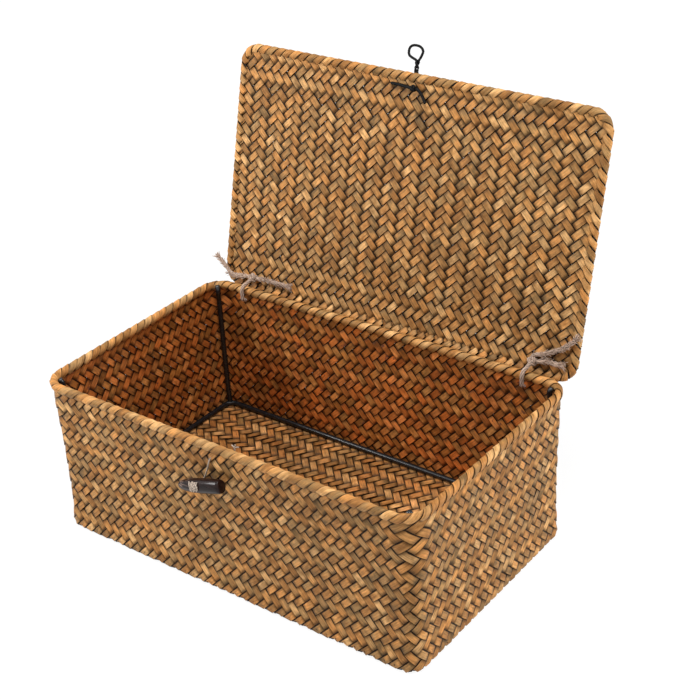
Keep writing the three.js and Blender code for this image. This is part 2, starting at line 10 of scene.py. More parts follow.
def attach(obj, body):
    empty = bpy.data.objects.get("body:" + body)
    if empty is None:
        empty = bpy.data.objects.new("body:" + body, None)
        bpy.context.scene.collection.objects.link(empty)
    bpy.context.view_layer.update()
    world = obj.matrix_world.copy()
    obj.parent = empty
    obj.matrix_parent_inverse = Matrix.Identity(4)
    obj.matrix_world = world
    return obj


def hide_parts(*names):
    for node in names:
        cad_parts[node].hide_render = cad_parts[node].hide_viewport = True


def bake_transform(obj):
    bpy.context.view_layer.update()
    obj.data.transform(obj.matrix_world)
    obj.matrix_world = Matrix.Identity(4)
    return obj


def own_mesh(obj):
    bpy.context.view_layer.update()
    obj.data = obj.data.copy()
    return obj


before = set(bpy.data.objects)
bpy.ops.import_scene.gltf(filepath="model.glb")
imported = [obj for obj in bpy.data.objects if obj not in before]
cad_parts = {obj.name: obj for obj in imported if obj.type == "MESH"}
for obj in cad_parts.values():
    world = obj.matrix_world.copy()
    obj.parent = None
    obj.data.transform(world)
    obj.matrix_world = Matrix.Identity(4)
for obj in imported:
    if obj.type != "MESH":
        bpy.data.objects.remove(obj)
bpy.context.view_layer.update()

bl_info = {
    "name": "Woven lidded box",
    "version": (1, 0, 0),
    "blender": (4, 5, 0),
    "location": "View3D > Sidebar > Woven box",
    "description": "Dresses the plaited box, its lid, ties, closing loop and toggle, and sets the stage",
    "category": "Object",
}

MM = 0.001
DIAGONAL = math.sqrt(2)
WELD = 1e-7


# Shape of the box, in millimetres as the solids have it

BODY_LENGTH = 338.0
BODY_DEPTH = 202.0
BODY_HEIGHT = 130.0
RIM_CORNER = 20.0
BASE_LENGTH = 330.0
BASE_DEPTH = 199.0
BASE_CORNER = 13.0
BASE_EDGE = 3.0
BASE_FLARE = 4
FLOOR_LIFT = 9.0
REST_LENGTH = 120.0
REST_DEPTH = 56.0
WAIST_INSET = 2.9
WAIST_HEIGHT = 62.0
WAIST_CORNER = 11.5
WEAVE = 3.0
STRIP = 1.3
FOLD_WIDTH = 8.5
WIRE = 3.2
FRAME_WIRE = 4.2
GAP = 0.3
LID_LENGTH = 332.0
LID_DEPTH = 200.5
LID_CORNER = 17.0
LID_GAP = 0.4
OPEN_ANGLE = 104.0
AXIS_INSET = 1.1
AXIS_DROP = 6.3
TWINE = 3.0
TIE_KNOT_RADIUS = 2.7
TIE_KNOT_LENGTH = 6.6
LEFT_TIE_INSET = 35.0
RIGHT_TIE_INSET = 38.0
CORD = 1.7
CORD_TAIL = 2.3
CORD_KNOT_RADIUS = 1.9
CORD_KNOT_LENGTH = 4.6
LOOP_HOLE_X = 1.9
LOOP_NECK_X = -2.0
LOOP_NECK = 6.0
LOOP_HEIGHT = 16.8
LOOP_WIDTH = 12.4
LOOP_LEAN = -2.2
THREAD = 1.2
THREAD_EXIT_X = -1.7
THREAD_EXIT_DROP = 3.6
THREAD_DROP = 21.4
TOGGLE_LENGTH = 42.0
TOGGLE_HEIGHT = 11.0
TOGGLE_THICKNESS = 10.0
TOGGLE_TILT = 17.5
TOGGLE_MIDDLE_X = -7.7
TOGGLE_HOLE = -1.5

FOLD_CAVITY = max(WIRE, WEAVE) + 2 * GAP
FOLD = FOLD_CAVITY + 2 * STRIP
BEAD = FOLD / 2
RIM_BEAD_Z = BODY_HEIGHT - BEAD
FOLD_BOTTOM = BODY_HEIGHT - FOLD_WIDTH
HINGE_Y = BODY_DEPTH / 2 - AXIS_INSET
HINGE_Z = BODY_HEIGHT - AXIS_DROP
LID_MIDDLE_Z = BODY_HEIGHT + LID_GAP + BEAD
FLOOR_TOP = FLOOR_LIFT + WEAVE
LID_OVERHANG = (LID_DEPTH - BODY_DEPTH) / 2
TIE_HOLE_Z = FOLD_BOTTOM - TWINE - 2 * GAP
KNOT_LINE = max(LID_OVERHANG + FOLD, FOLD_WIDTH) + 2 * GAP
TIE_SETBACK = KNOT_LINE + TIE_KNOT_RADIUS
LOOP_SETBACK = KNOT_LINE + CORD_KNOT_RADIUS
LEFT_TIE_X = LEFT_TIE_INSET - BODY_LENGTH / 2
RIGHT_TIE_X = BODY_LENGTH / 2 - RIGHT_TIE_INSET
LID_INSIDE = WEAVE / 2
THREAD_EXIT_Z = FOLD_BOTTOM - THREAD_EXIT_DROP

LID_TURN = Matrix.Rotation(-math.radians(OPEN_ANGLE), 4, "X")
LID_PLACE = Matrix.Translation((0, HINGE_Y, HINGE_Z)) @ LID_TURN


def blend_values(a, b, share):
    """A value between a and b."""
    return a + (b - a) * share


def smooth_step(value, low, high):
    """0 before low, 1 after high and a soft rise between."""
    share = min(max((value - low) / (high - low), 0.0), 1.0)
    return share * share * (3 - 2 * share)


class Outline:
    """A rectangle with round corners, walked counterclockwise seen from above."""

    def __init__(self, half_length, half_depth, radius):
        self.half_length = half_length
        self.half_depth = half_depth
        self.radius = max(radius, 0.5)

    def grown(self, out):
        return Outline(self.half_length + out, self.half_depth + out, self.radius + out)

    def mixed(self, other, share):
        return Outline(
            blend_values(self.half_length, other.half_length, share),
            blend_values(self.half_depth, other.half_depth, share),
            blend_values(self.radius, other.radius, share),
        )

    def runs(self):
        """Lengths of the eight stretches: a side and a corner in turn, from the right side on."""
        side = 2 * (self.half_depth - self.radius)
        face = 2 * (self.half_length - self.radius)
        corner = self.radius * math.pi / 2
        return [side, corner, face, corner, side, corner, face, corner]

    def length(self):
        return sum(self.runs())

    def stretch(self, distance):
        """Which stretch a distance along the outline falls in, and how far along it."""
        rest = distance % self.length()
        for number, run in enumerate(self.runs()):
            if rest < run:
                return number, rest / run
            rest -= run
        return 7, 1.0

    def point(self, number, share):
        """The place and the outward direction at a share of one stretch."""
        turn = number // 2 * math.pi / 2
        if number % 2:
            turn += share * math.pi / 2
        outward = Vector((math.cos(turn), math.sin(turn), 0))
        corners = [(1, -1), (1, 1), (-1, 1), (-1, -1), (1, -1)]
        first = corners[number // 2]
        last = corners[number // 2 + 1]
        reach_x = self.half_length - self.radius
        reach_y = self.half_depth - self.radius
        start = Vector((first[0] * reach_x, first[1] * reach_y, 0))
        end = Vector((last[0] * reach_x, last[1] * reach_y, 0))
        middle = end if number % 2 else start.lerp(end, share)
        return middle + outward * self.radius, outward

    def at(self, distance):
        """The place and the outward direction at a distance along the outline."""
        return self.point(*self.stretch(distance))

    def inside(self, x, y):
        """True where a point lies within the outline."""
        over_x = max(abs(x) - self.half_length + self.radius, 0)
        over_y = max(abs(y) - self.half_depth + self.radius, 0)
        return math.hypot(over_x, over_y) < self.radius


RIM_OUTLINE = Outline(BODY_LENGTH / 2, BODY_DEPTH / 2, RIM_CORNER)
WALL_IN_RIM = RIM_OUTLINE.grown(WEAVE / 2 - BEAD)
WAIST_OUTLINE = Outline(
    WALL_IN_RIM.half_length - WAIST_INSET, WALL_IN_RIM.half_depth - WAIST_INSET, WAIST_CORNER,
)
BASE_OUTLINE = Outline(BASE_LENGTH / 2, BASE_DEPTH / 2, BASE_CORNER)
LID_OUTLINE = Outline(LID_LENGTH / 2, LID_DEPTH / 2, LID_CORNER)
RIM_MIDDLE = RIM_OUTLINE.grown(-BEAD)
LID_EDGE_MIDDLE = LID_OUTLINE.grown(-BEAD)


def wall_outline(z):
    """Outer face of the wall at a height."""
    if z < WAIST_HEIGHT:
        rise = min(max((z - BASE_EDGE) / (WAIST_HEIGHT - BASE_EDGE), 0.0), 1.0)
        return WAIST_OUTLINE.mixed(BASE_OUTLINE, (1 - rise) ** BASE_FLARE)
    return WAIST_OUTLINE.mixed(WALL_IN_RIM, smooth_step(z, WAIST_HEIGHT, FOLD_BOTTOM))


def lid_point(x, setback, inside):
    """A point of the open lid: across, in from the hinge edge, and towards the lid's inside."""
    shut = Vector((x, LID_DEPTH / 2 - setback - HINGE_Y, LID_MIDDLE_Z - inside - HINGE_Z))
    return LID_PLACE @ shut


def lid_axes():
    """Directions of the open lid: across, away from the hinge edge and towards its inside."""
    turn = LID_TURN.to_3x3()
    return Vector((1, 0, 0)), turn @ Vector((0, -1, 0)), turn @ Vector((0, 0, -1))


# Settings that a user would change


def colour_setting(name, description, default):
    return FloatVectorProperty(name=name, description=description, subtype="COLOR", size=3, default=default)


def power_setting(name, description, default):
    return FloatProperty(name=name, description=description, default=default, unit="POWER")


class PlaitSettings(bpy.types.PropertyGroup):
    """Sizes of the plaited strips, in metres."""

    wall_strips: IntProperty(
        name="Wall strips", description="Strips round the wall in each direction", default=124, min=40,
    )
    border_strips: IntProperty(
        name="Border strips", description="Folded strips round the lid", default=128, min=40,
    )
    strip_width: FloatProperty(
        name="Strip width", description="Width of a strip", default=0.006, unit="LENGTH",
    )
    strip_thickness: FloatProperty(
        name="Strip thickness", description="Thickness of a strip", default=0.0009, unit="LENGTH",
    )
    wave: FloatProperty(
        name="Wave", description="How far a strip rises and dips at a crossing", default=0.00072,
        unit="LENGTH",
    )
    lap: FloatProperty(
        name="Lap", description="Slope at which each float lies over the next", default=0.13,
    )
    middle_rows: IntProperty(
        name="Middle rows", description="Crossings from the lid's middle to its bands of rows", default=16,
        min=2,
    )


class FinishSettings(bpy.types.PropertyGroup):
    """Colours of the finishes."""

    strip_pale: colour_setting("Pale strip", "Palest strips", (0.66, 0.38, 0.155))
    strip_gold: colour_setting("Golden strip", "Most of the strips", (0.51, 0.248, 0.08))
    strip_olive: colour_setting("Olive strip", "Greyish strips", (0.34, 0.195, 0.075))
    strip_orange: colour_setting("Orange strip", "Warm strips", (0.47, 0.205, 0.058))
    strip_purple: colour_setting("Dark strip", "A few dark strips", (0.085, 0.028, 0.022))
    # The two inside tints are painted shade and warm reflected light on the faces inside the box
    inside_shade_warm: colour_setting("Warm inside", "Painted shade on the reddest strips inside", (0.93, 0.54, 0.34))
    inside_shade_cool: colour_setting("Cool inside", "Painted shade on the greenest strips inside", (0.73, 0.56, 0.385))
    twine: colour_setting("Twine", "Twine of the ties", (0.92, 0.66, 0.5))
    thread: colour_setting("Thread", "Thread of the toggle", (0.95, 0.77, 0.62))
    toggle: colour_setting("Toggle", "Dark wood of the toggle", (0.016, 0.0055, 0.0045))


class StageSettings(bpy.types.PropertyGroup):
    """Lamps and floor."""

    key_power: power_setting("Key lamp", "Power of the key lamp", 4.2)
    fill_power: power_setting("Fill lamp", "Power of the fill lamp", 9.0)
    top_power: power_setting("Top lamp", "Power of the top lamp", 26.5)
    sky: FloatProperty(name="Sky", description="Strength of the surrounding light", default=0.13)


def plait():
    return bpy.context.scene.box_plait


def finishes():
    return bpy.context.scene.box_finish


# Materials


class Graph:
    """Adds nodes to a tree. Each input of a node is a value, or the output that feeds it."""

    def __init__(self, tree):
        self.tree = tree

    def feed(self, node, inputs):
        for key, value in inputs.items():
            if isinstance(value, bpy.types.NodeSocket):
                self.tree.links.new(value, node.inputs[key])
            else:
                node.inputs[key].default_value = value

    def node(self, kind, inputs=None, **settings):
        made = self.tree.nodes.new(kind)
        for name, value in settings.items():
            setattr(made, name, value)
        self.feed(made, inputs or {})
        return made

    def math(self, operation, *inputs):
        return self.node("ShaderNodeMath", dict(enumerate(inputs)), operation=operation).outputs[0]

    def remap(self, value, low=0.0, high=1.0, to_low=0.0, to_high=1.0):
        """A value moved from one range to another and held at its ends."""
        return self.node("ShaderNodeMapRange", {
            "Value": value, "From Min": low, "From Max": high, "To Min": to_low, "To Max": to_high,
        }).outputs[0]

    def stretched(self, vector, times):
        return self.node("ShaderNodeVectorMath", {0: vector, 1: times}, operation="MULTIPLY").outputs[0]

    def scaled(self, vector, share):
        return self.node("ShaderNodeVectorMath", {0: vector, "Scale": share}, operation="SCALE").outputs[0]

    def split(self, vector):
        return self.node("ShaderNodeSeparateXYZ", {0: vector}).outputs[:]

    def attribute(self, name):
        return self.node("ShaderNodeAttribute", attribute_name=name).outputs["Vector"]

    def object_place(self):
        return self.node("ShaderNodeTexCoord").outputs["Object"]

    def noise(self, vector, scale, detail, roughness=0.5):
        return self.node("ShaderNodeTexNoise", {
            "Vector": vector, "Scale": scale, "Detail": detail, "Roughness": roughness,
        }).outputs["Fac"]

    def ramp(self, share, stops):
        made = self.node("ShaderNodeValToRGB", {"Fac": share})
        elements = made.color_ramp.elements
        for number, (position, colour) in enumerate(stops):
            element = elements[number] if number < 2 else elements.new(position)
            element.position = position
            element.color = (*colour, 1)
        return made.outputs["Color"]

    def mix(self, share, first, second, blend="MIX"):
        return self.node(
            "ShaderNodeMix", {"Factor": share, "A": first, "B": second}, data_type="RGBA", blend_type=blend,
        ).outputs["Result"]

    def bump(self, height, strength, distance):
        return self.node("ShaderNodeBump", {
            "Height": height, "Strength": strength, "Distance": distance,
        }).outputs[0]


def shaded(colour, share):
    return tuple(channel * share for channel in colour)


STREAK_STRETCH = (60.0, 1.6, 41.0)
PATCH_STRETCH = (150.0, 0.5, 37.0)
FIBRE_HEIGHT = 0.0003


def fibre_group():
    """Lengthwise fibres of a strip: a mask of streaks, a patchy shade and a height."""
    group = bpy.data.node_groups.get("strip_fibres")
    if group:
        return group
    group = bpy.data.node_groups.new("strip_fibres", "ShaderNodeTree")
    group.interface.new_socket("Place", in_out="INPUT", socket_type="NodeSocketVector")
    fineness = group.interface.new_socket("Fineness", in_out="INPUT", socket_type="NodeSocketFloat")
    fineness.default_value = 1.0
    for name in ("Streaks", "Patches", "Height"):
        group.interface.new_socket(name, in_out="OUTPUT", socket_type="NodeSocketFloat")
    graph = Graph(group)
    start = graph.node("NodeGroupInput")
    place = start.outputs["Place"]
    finer = graph.scaled(graph.stretched(place, STREAK_STRETCH), start.outputs["Fineness"])
    streaks = graph.noise(finer, 1.7, 4.0, 0.7)
    patches = graph.noise(graph.stretched(place, PATCH_STRETCH), 1.0, 2.0)
    height = graph.math("MULTIPLY_ADD", patches, 0.4, streaks)
    graph.node("NodeGroupOutput", {"Streaks": streaks, "Patches": patches, "Height": height})
    return group


def start_material(name, roughness, specular=0.5):
    material = bpy.data.materials.new(name)
    material.use_nodes = True
    graph = Graph(material.node_tree)
    shader = graph.tree.nodes["Principled BSDF"]
    graph.feed(shader, {"Roughness": roughness, "Specular IOR Level": specular})
    return material, graph, shader


# How fast the shade and the tint of the inside's painted shade change from float to float
SHADE_TURNS = 45.0
HUE_TURNS = 71.0


def strip_material(name, lift):
    """Dried grass strips: own colours that drift along them and fibre streaks; painted shade where a strip
    dives or is lapped over, painted shade and warm reflected light on inside faces, and colours scaled by
    lift, which the folds raise as painted light.
    """
    material, graph, shader = start_material(name, 0.5, 0.15)
    colours = finishes()
    place = graph.attribute("strip_place")
    tone = graph.split(place)[2]
    light, inside = graph.split(graph.attribute("strip_painted_light"))[:2]
    fibres = graph.node("ShaderNodeGroup", {"Place": place}, node_tree=fibre_group())
    streaks, patches = fibres.outputs["Streaks"], fibres.outputs["Patches"]
    drift = graph.math("PINGPONG", graph.math("MULTIPLY_ADD", patches, 0.5, tone), 1.0)
    stops = [
        (0.0, colours.strip_olive), (0.22, colours.strip_gold), (0.4, colours.strip_pale),
        (0.58, colours.strip_gold), (0.76, colours.strip_orange), (0.88, colours.strip_gold),
        (1.0, colours.strip_olive),
    ]
    colour = graph.ramp(drift, [(position, shaded(stop, lift)) for position, stop in stops])
    patch_shade = graph.remap(patches, 0.28, 0.72, 0.66, 1.3)
    streak_shade = graph.remap(streaks, 0.3, 0.7, 0.55, 1.36)
    swing = graph.math("SINE", graph.math("MULTIPLY", tone, SHADE_TURNS))
    float_shade = graph.remap(swing, low=-1.0, to_low=0.76, to_high=1.28)
    shade = graph.math("MULTIPLY", graph.math("MULTIPLY", patch_shade, streak_shade), float_shade)
    # Painted shade: the light attribute darkens dives, faces under the weave and each strip's lapped edge
    shade = graph.math("MULTIPLY", shade, graph.remap(light, to_low=0.03))
    # Painted shade and warm reflected light on inside faces: a tint between cool and warm, chosen float by
    # float
    sway = graph.math("COSINE", graph.math("MULTIPLY", tone, HUE_TURNS))
    inside_shade_hue = graph.mix(graph.remap(sway, low=-1.0), (*colours.inside_shade_cool, 1), (*colours.inside_shade_warm, 1))
    colour_with_painted_shade = graph.mix(inside, graph.scaled(colour, shade), inside_shade_hue, "MULTIPLY")
    dark = graph.math("MULTIPLY", graph.remap(patches, 0.66, 0.72, to_high=0.75), inside)
    graph.feed(shader, {
        "Base Color": graph.mix(dark, colour_with_painted_shade, (*colours.strip_purple, 1)),
        "Roughness": graph.remap(streaks, to_low=0.42, to_high=0.68),
        "Normal": graph.bump(fibres.outputs["Height"], 0.5, FIBRE_HEIGHT),
    })
    return material


def spun_material(name, colour, roughness, specular, darkest, fuzz):
    """Spun twine, cord or thread: fine twisted fibres along the piece's own length, with painted shade
    between plies.
    """
    material, graph, shader = start_material(name, roughness, specular)
    place = graph.attribute("strip_place")
    fibres = graph.node("ShaderNodeGroup", {"Place": place, "Fineness": 4.0}, node_tree=fibre_group())
    streaked = graph.ramp(fibres.outputs["Streaks"], [(0.3, shaded(colour, darkest)), (0.68, colour)])
    light = graph.split(graph.attribute("strip_painted_light"))[0]
    painted_ply_shade = graph.remap(light, 0.1, 0.85, to_low=0.22)
    graph.feed(shader, {
        "Base Color": graph.scaled(streaked, painted_ply_shade),
        "Normal": graph.bump(fibres.outputs["Height"], 0.6, FIBRE_HEIGHT),
        "Sheen Weight": fuzz,
    })
    return material


def wire_material(name):
    """Black coated wire, glossy with a faint orange-peel."""
    material, graph, shader = start_material(name, 0.22)
    peel = graph.noise(graph.object_place(), 420.0, 2.0)
    graph.feed(shader, {
        "Base Color": graph.ramp(peel, [(0.0, (0.004, 0.004, 0.005)), (1.0, (0.012, 0.012, 0.013))]),
        "Roughness": graph.remap(peel, to_low=0.16, to_high=0.34),
        "Normal": graph.bump(peel, 0.25, 0.0002),
    })
    return material


# The peg's wear starts and is full at these distances from its middle
WORN_FROM = 6
WORN_FULL = 16


def toggle_material(name):
    """Dark polished wood: a faint grain along the peg, a clear coat and worn chips at its narrow end."""
    material, graph, shader = start_material(name, 0.3, 0.08)
    place = graph.object_place()
    along = graph.node("ShaderNodeMapping", {
        "Vector": place, "Scale": (60.0, 700.0, 700.0), "Rotation": (0, -math.radians(TOGGLE_TILT), 0),
    })
    grain = graph.noise(along.outputs[0], 1.0, 4.0, 0.6)
    colour = finishes().toggle
    polished = graph.ramp(grain, [(0.32, shaded(colour, 0.35)), (0.72, shaded(colour, 1.5))])
    x = graph.split(place)[0]
    worn = graph.remap(x, (TOGGLE_MIDDLE_X - WORN_FROM) * MM, (TOGGLE_MIDDLE_X - WORN_FULL) * MM, to_high=0.7)
    bare = graph.math("MULTIPLY", worn, graph.remap(grain, 0.5, 0.6))
    graph.feed(shader, {
        "Base Color": graph.mix(bare, polished, (0.36, 0.24, 0.19, 1)),
        "Roughness": graph.remap(grain, to_low=0.2, to_high=0.42),
        "Coat Weight": 0.3,
        "Coat Roughness": 0.07,
    })
    return material


# The finish of each slot: its name and what makes it
BLACK_CORD = (0.007, 0.007, 0.0075)
SLOT_FINISHES = {
    "woven_strip": ("grass_strips", lambda name: strip_material(name, 1.0)),
    # The folds take a lighter copy of the strips' colours, painted light for the bright rim
    "folded_strip": ("grass_folds", lambda name: strip_material(name, 1.12)),
    "frame_wire": ("black_coated_wire", wire_material),
    "twine": ("fuzzy_twine", lambda name: spun_material(name, finishes().twine, 0.95, 0.2, 0.22, 0.4)),
    "black_cord": ("waxed_cord", lambda name: spun_material(name, BLACK_CORD, 0.5, 0.12, 0.4, 0.0)),
    "pale_thread": (
        "cotton_thread", lambda name: spun_material(name, finishes().thread, 0.9, 0.2, 0.35, 0.2),
    ),
    "toggle_wood": ("polished_dark_wood", toggle_material),
}


def finish_of(slot_name):
    """The finish of a slot, made the first time it is asked for."""
    name, make = SLOT_FINISHES[slot_name]
    return bpy.data.materials.get(name) or make(name)


# Building pieces


class Piece:
    """A bmesh that keeps at each vertex its place on a strip, its painted light and its share of painted
    inside shade.
    """

    def __init__(self, name):
        self.name = name
        self.mesh = bmesh.new()
        self.place = self.mesh.verts.layers.float_vector.new("strip_place")
        self.look = self.mesh.verts.layers.float_vector.new("strip_painted_light")

    def grid(self, along, across):
        """A grid of the unit square: each vertex with its share along and across."""
        made = bmesh.ops.create_grid(self.mesh, x_segments=along, y_segments=across, size=0.5)
        for vertex in made["verts"]:
            yield vertex, vertex.co.x + 0.5, vertex.co.y + 0.5

    def close(self):
        """Caps the open ends and turns the faces outwards."""
        open_edges = [edge for edge in self.mesh.edges if edge.is_boundary]
        bmesh.ops.holes_fill(self.mesh, edges=open_edges, sides=0)
        bmesh.ops.recalc_face_normals(self.mesh, faces=self.mesh.faces)

    def finish(self, body, slot_name, *nodes):
        """Writes the mesh to an object that rides on a body and stands for its solids."""
        self.close()
        data = bpy.data.meshes.new(self.name)
        for face in self.mesh.faces:
            face.smooth = True
        self.mesh.to_mesh(data)
        self.mesh.free()
        piece = bpy.data.objects.new(self.name, data)
        bpy.context.scene.collection.objects.link(piece)
        data.materials.append(finish_of(slot_name))
        if nodes:
            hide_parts(*nodes)
        if body:
            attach(piece, body)
        return piece


# Sections of strips: shares of half the width and of half the thickness, and the painted light there.
# One edge takes painted shade, where the strip beside it laps over it.
STRAND_SECTION = [
    (-1.0, 0.0, 0.2), (-0.92, 1.0, 1.0), (0.62, 1.0, 1.0), (0.94, 1.0, -1.0),
    (1.0, 0.0, -1.0), (0.94, -1.0, -1.0), (0.62, -1.0, 1.0), (-0.92, -1.0, 1.0),
]
FLAP_SECTION = [
    (-1.0, 0.0, 0.05), (-0.94, 1.0, 0.1), (-0.66, 1.0, 0.9), (-0.31, 1.0, 1.0), (0.0, 1.0, 1.0),
    (0.31, 1.0, 1.0), (0.62, 1.0, 1.0), (0.94, 1.0, 1.0), (1.0, 0.0, 0.2), (0.5, -1.0, 0.0),
    (-0.5, -1.0, 0.0),
]
CRISP_FROM = 0.9
GROUND = 0.0

# A strand's floats and dives: half a dive in crossings, heights in waves, and the painted light at a dive and
# on a buried face
DIVE = 0.09
DIVE_HEIGHT = 0.9
FLOAT_HEIGHT = 1.1
FLOAT_FROM = 0.95
DIVE_LIGHT = 0.3
BURIED_LIGHT = 0.0
TONE_SPREAD = 0.1
TILT_SPREAD = 0.05
WIDTH_SHARES = (0.95, 1.01)


def lay_strip(piece, section, steps, width, thickness, spot):
    """A strip of a given section, with crisp edges beside its narrow sides, flat where it meets the ground.

    spot takes a step and a distance aside, and gives the place, the way out, the length so far, the tone and
    the painted light and the share of painted inside shade of the upper and of the lower face.
    """
    corners = len(section)
    corner_of = {}
    for vertex, along, around in piece.grid(steps, corners):
        number = round(around * corners) % corners
        across, up, reached = section[number]
        point, outward, length, tone, upper, lower = spot(round(along * steps), across * width / 2)
        vertex.co = (point + outward * up * thickness / 2) * MM
        vertex.co.z = max(vertex.co.z, GROUND)
        vertex[piece.place] = (length * MM, across, tone)
        light, inside = upper if up > 0 or (up == 0 and upper[0] > lower[0]) else lower
        vertex[piece.look] = (light * reached, inside, 0)
        corner_of[vertex] = across
    for edge in {edge for vertex in corner_of for edge in vertex.link_edges}:
        first, last = (corner_of[vertex] for vertex in edge.verts)
        edge.smooth = not (first == last and CRISP_FROM < abs(first) < 1)
    bmesh.ops.remove_doubles(piece.mesh, verts=list(corner_of), dist=WELD)


def strand_stations(first, last, over, chance):
    """Stations of a strand: place in crossings, height, tone and tilt.

    It is flat on its floats and steep where it dives. Each float has a tone near the strand's own and a tilt.
    """
    stations = []
    strand_tone = chance.random()
    tone, tilt = strand_tone, 0.0
    for crossing in range(first, last):
        here, ahead = over(crossing), over(crossing + 1)
        stations.append((crossing, here, tone, tilt))
        if here == ahead:
            stations.append((crossing + 0.5, FLOAT_HEIGHT * here, tone, tilt))
            continue
        stations.append((crossing + 0.5 - DIVE, DIVE_HEIGHT * here, tone, tilt))
        tone = strand_tone + chance.gauss(0, TONE_SPREAD)
        tilt = chance.gauss(0, TILT_SPREAD)
        stations.append((crossing + 0.5 + DIVE, DIVE_HEIGHT * ahead, tone, tilt))
    stations.append((last, over(last), tone, tilt))
    return stations


def lay_strand(piece, stations, surface, width, inside, shingle):
    """Lays one strip along its stations on a surface.

    inside is the share of painted inside shade on its upper and lower face. Its floats lie like shingles:
    shingle is the side,
    1 or -1, that laps over the next strip.
    """
    lift = plait().wave / MM
    pitch = strand_spacing() / DIAGONAL

    def spot(step, aside):
        station, height, tone, tilt = stations[step]
        point, normal = surface(station, aside)
        # Painted shade: a dive takes DIVE_LIGHT and a face under the weave takes BURIED_LIGHT
        painted_dive_light = 1.0 if abs(height) > FLOAT_FROM else DIVE_LIGHT
        upper = (painted_dive_light if height > 0 else BURIED_LIGHT, inside[0])
        lower = (painted_dive_light if height < 0 else BURIED_LIGHT, inside[1])
        lap = (plait().lap * shingle + tilt) * aside
        raised = height * lift + (lap if height > 0 else -lap)
        return point + normal * raised, normal, station * pitch, tone, upper, lower

    section = [(-across * shingle, up, reached) for across, up, reached in STRAND_SECTION]
    lay_strip(piece, section, len(stations) - 1, width, plait().strip_thickness / MM, spot)


def strand_width(chance):
    return plait().strip_width / MM * chance.uniform(*WIDTH_SHARES)


def strand_spacing():
    """From strand to strand along the wall's waist."""
    return WAIST_OUTLINE.length() / plait().wall_strips


def over_two(count):
    """True for two crossings out of every four, the step of the twill."""
    return count % 4 in (0, 1)


# Walls


HEM_TURN = BASE_EDGE - WEAVE / 2
HEM_TUCK = 6.0


def wall_surface(share, level):
    """Place and outward normal on the wall's middle; below level 0, the base's edge, the hem turns in."""
    angle = min(max(-level / HEM_TURN, 0.0), math.pi)
    inner = max(-level - HEM_TURN * math.pi, 0.0)
    z = BASE_EDGE + max(level, 0.0) - HEM_TURN * math.sin(angle) + inner
    out = -WEAVE / 2 - HEM_TURN * (1 - math.cos(angle))
    outline = wall_outline(BASE_EDGE + max(level, 0.0)).grown(out)
    number, part = WAIST_OUTLINE.stretch(share * WAIST_OUTLINE.length())
    point, outward = outline.point(number, part)
    normal = outward * math.cos(angle) - Vector((0, 0, math.sin(angle)))
    return point + Vector((0, 0, z)), normal


def build_wall_strands(name, lean, seed, *nodes):
    """All the strips of the wall that lean one way; lean is 1 where they rise to the right."""
    spacing = strand_spacing()
    hem = math.pi * HEM_TURN + HEM_TUCK
    first = -math.ceil(hem / (spacing / 2))
    last = round((RIM_BEAD_Z - BASE_EDGE) / (spacing / 2))
    chance = random.Random(seed)
    piece = Piece(name)

    def over(crossing):
        raised = over_two(crossing if lean > 0 else 1 - crossing)
        return lean if raised else -lean

    for number in range(plait().wall_strips):
        width = strand_width(chance)

        def surface(station, aside):
            level = station * spacing / 2 + aside / DIAGONAL
            run = number * spacing + lean * (station * spacing / 2 - aside / DIAGONAL)
            return wall_surface(run / WAIST_OUTLINE.length(), level)

        lay_strand(piece, strand_stations(first, last, over, chance), surface, width, (0, 1), -1)
    piece.finish("basket", "woven_strip", *nodes)


class BOX_OT_walls(bpy.types.Operator):
    """Plaits the walls from strips that rise to the right and strips that fall to the right"""

    bl_idname = "woven_box.walls"
    bl_label = "Plait the walls"

    def execute(self, context):
        build_wall_strands("wall_strips_rising", 1, 11, "woven_body")
        build_wall_strands("wall_strips_falling", -1, 23)
        return {"FINISHED"}


# Floor and lid panel


# A strand's cut end: how far past its last crossing it may reach, and its height in waves
END_REACHES = (0.1, 0.3, 0.5, 0.7, 0.9)
END_HEIGHT = 0.3


def build_flat_strands(name, lean, outline, place, over_at, body, seed, inside, *nodes):
    """Strips of a flat plaited panel that lean one way, cut at an outline."""
    spacing = strand_spacing()
    reach = math.ceil((outline.half_length + outline.half_depth) / spacing)
    chance = random.Random(seed)
    piece = Piece(name)
    for number in range(-reach, reach + 1):
        width = strand_width(chance)

        def flat(station, aside):
            along = station * spacing / 2
            across = number * spacing / 2
            side = aside / DIAGONAL
            return across + along - side, lean * (along - across + side)

        def over(crossing):
            raised = over_at((crossing - number) * lean, crossing + number)
            return lean if raised else -lean

        def surface(station, aside):
            return place(*flat(station, aside))

        def to_edge(station, way):
            kept_reaches = [share for share in END_REACHES if outline.inside(*flat(station + way * share, 0))]
            return station + way * max(kept_reaches, default=END_REACHES[0])

        kept = [station for station in range(-reach, reach + 1) if outline.inside(*flat(station, 0))]
        if len(kept) > 2:
            stations = strand_stations(kept[0], kept[-1], over, chance)
            start = (to_edge(kept[0], -1), END_HEIGHT * stations[0][1], *stations[0][2:])
            end = (to_edge(kept[-1], 1), END_HEIGHT * stations[-1][1], *stations[-1][2:])
            lay_strand(piece, [start, *stations, end], surface, width, inside, -lean)
    piece.finish(body, "woven_strip", *nodes)


FLOOR_EDGE = wall_outline(FLOOR_TOP).grown(-WEAVE)
FLOOR_MIDDLE = WEAVE / 2 + 0.3
FLOOR_CUT = 0.5
# How much of the painted inside shade the floor's top takes
FLOOR_PAINTED_SHADE = 0.42
LID_TUCK = 1.5


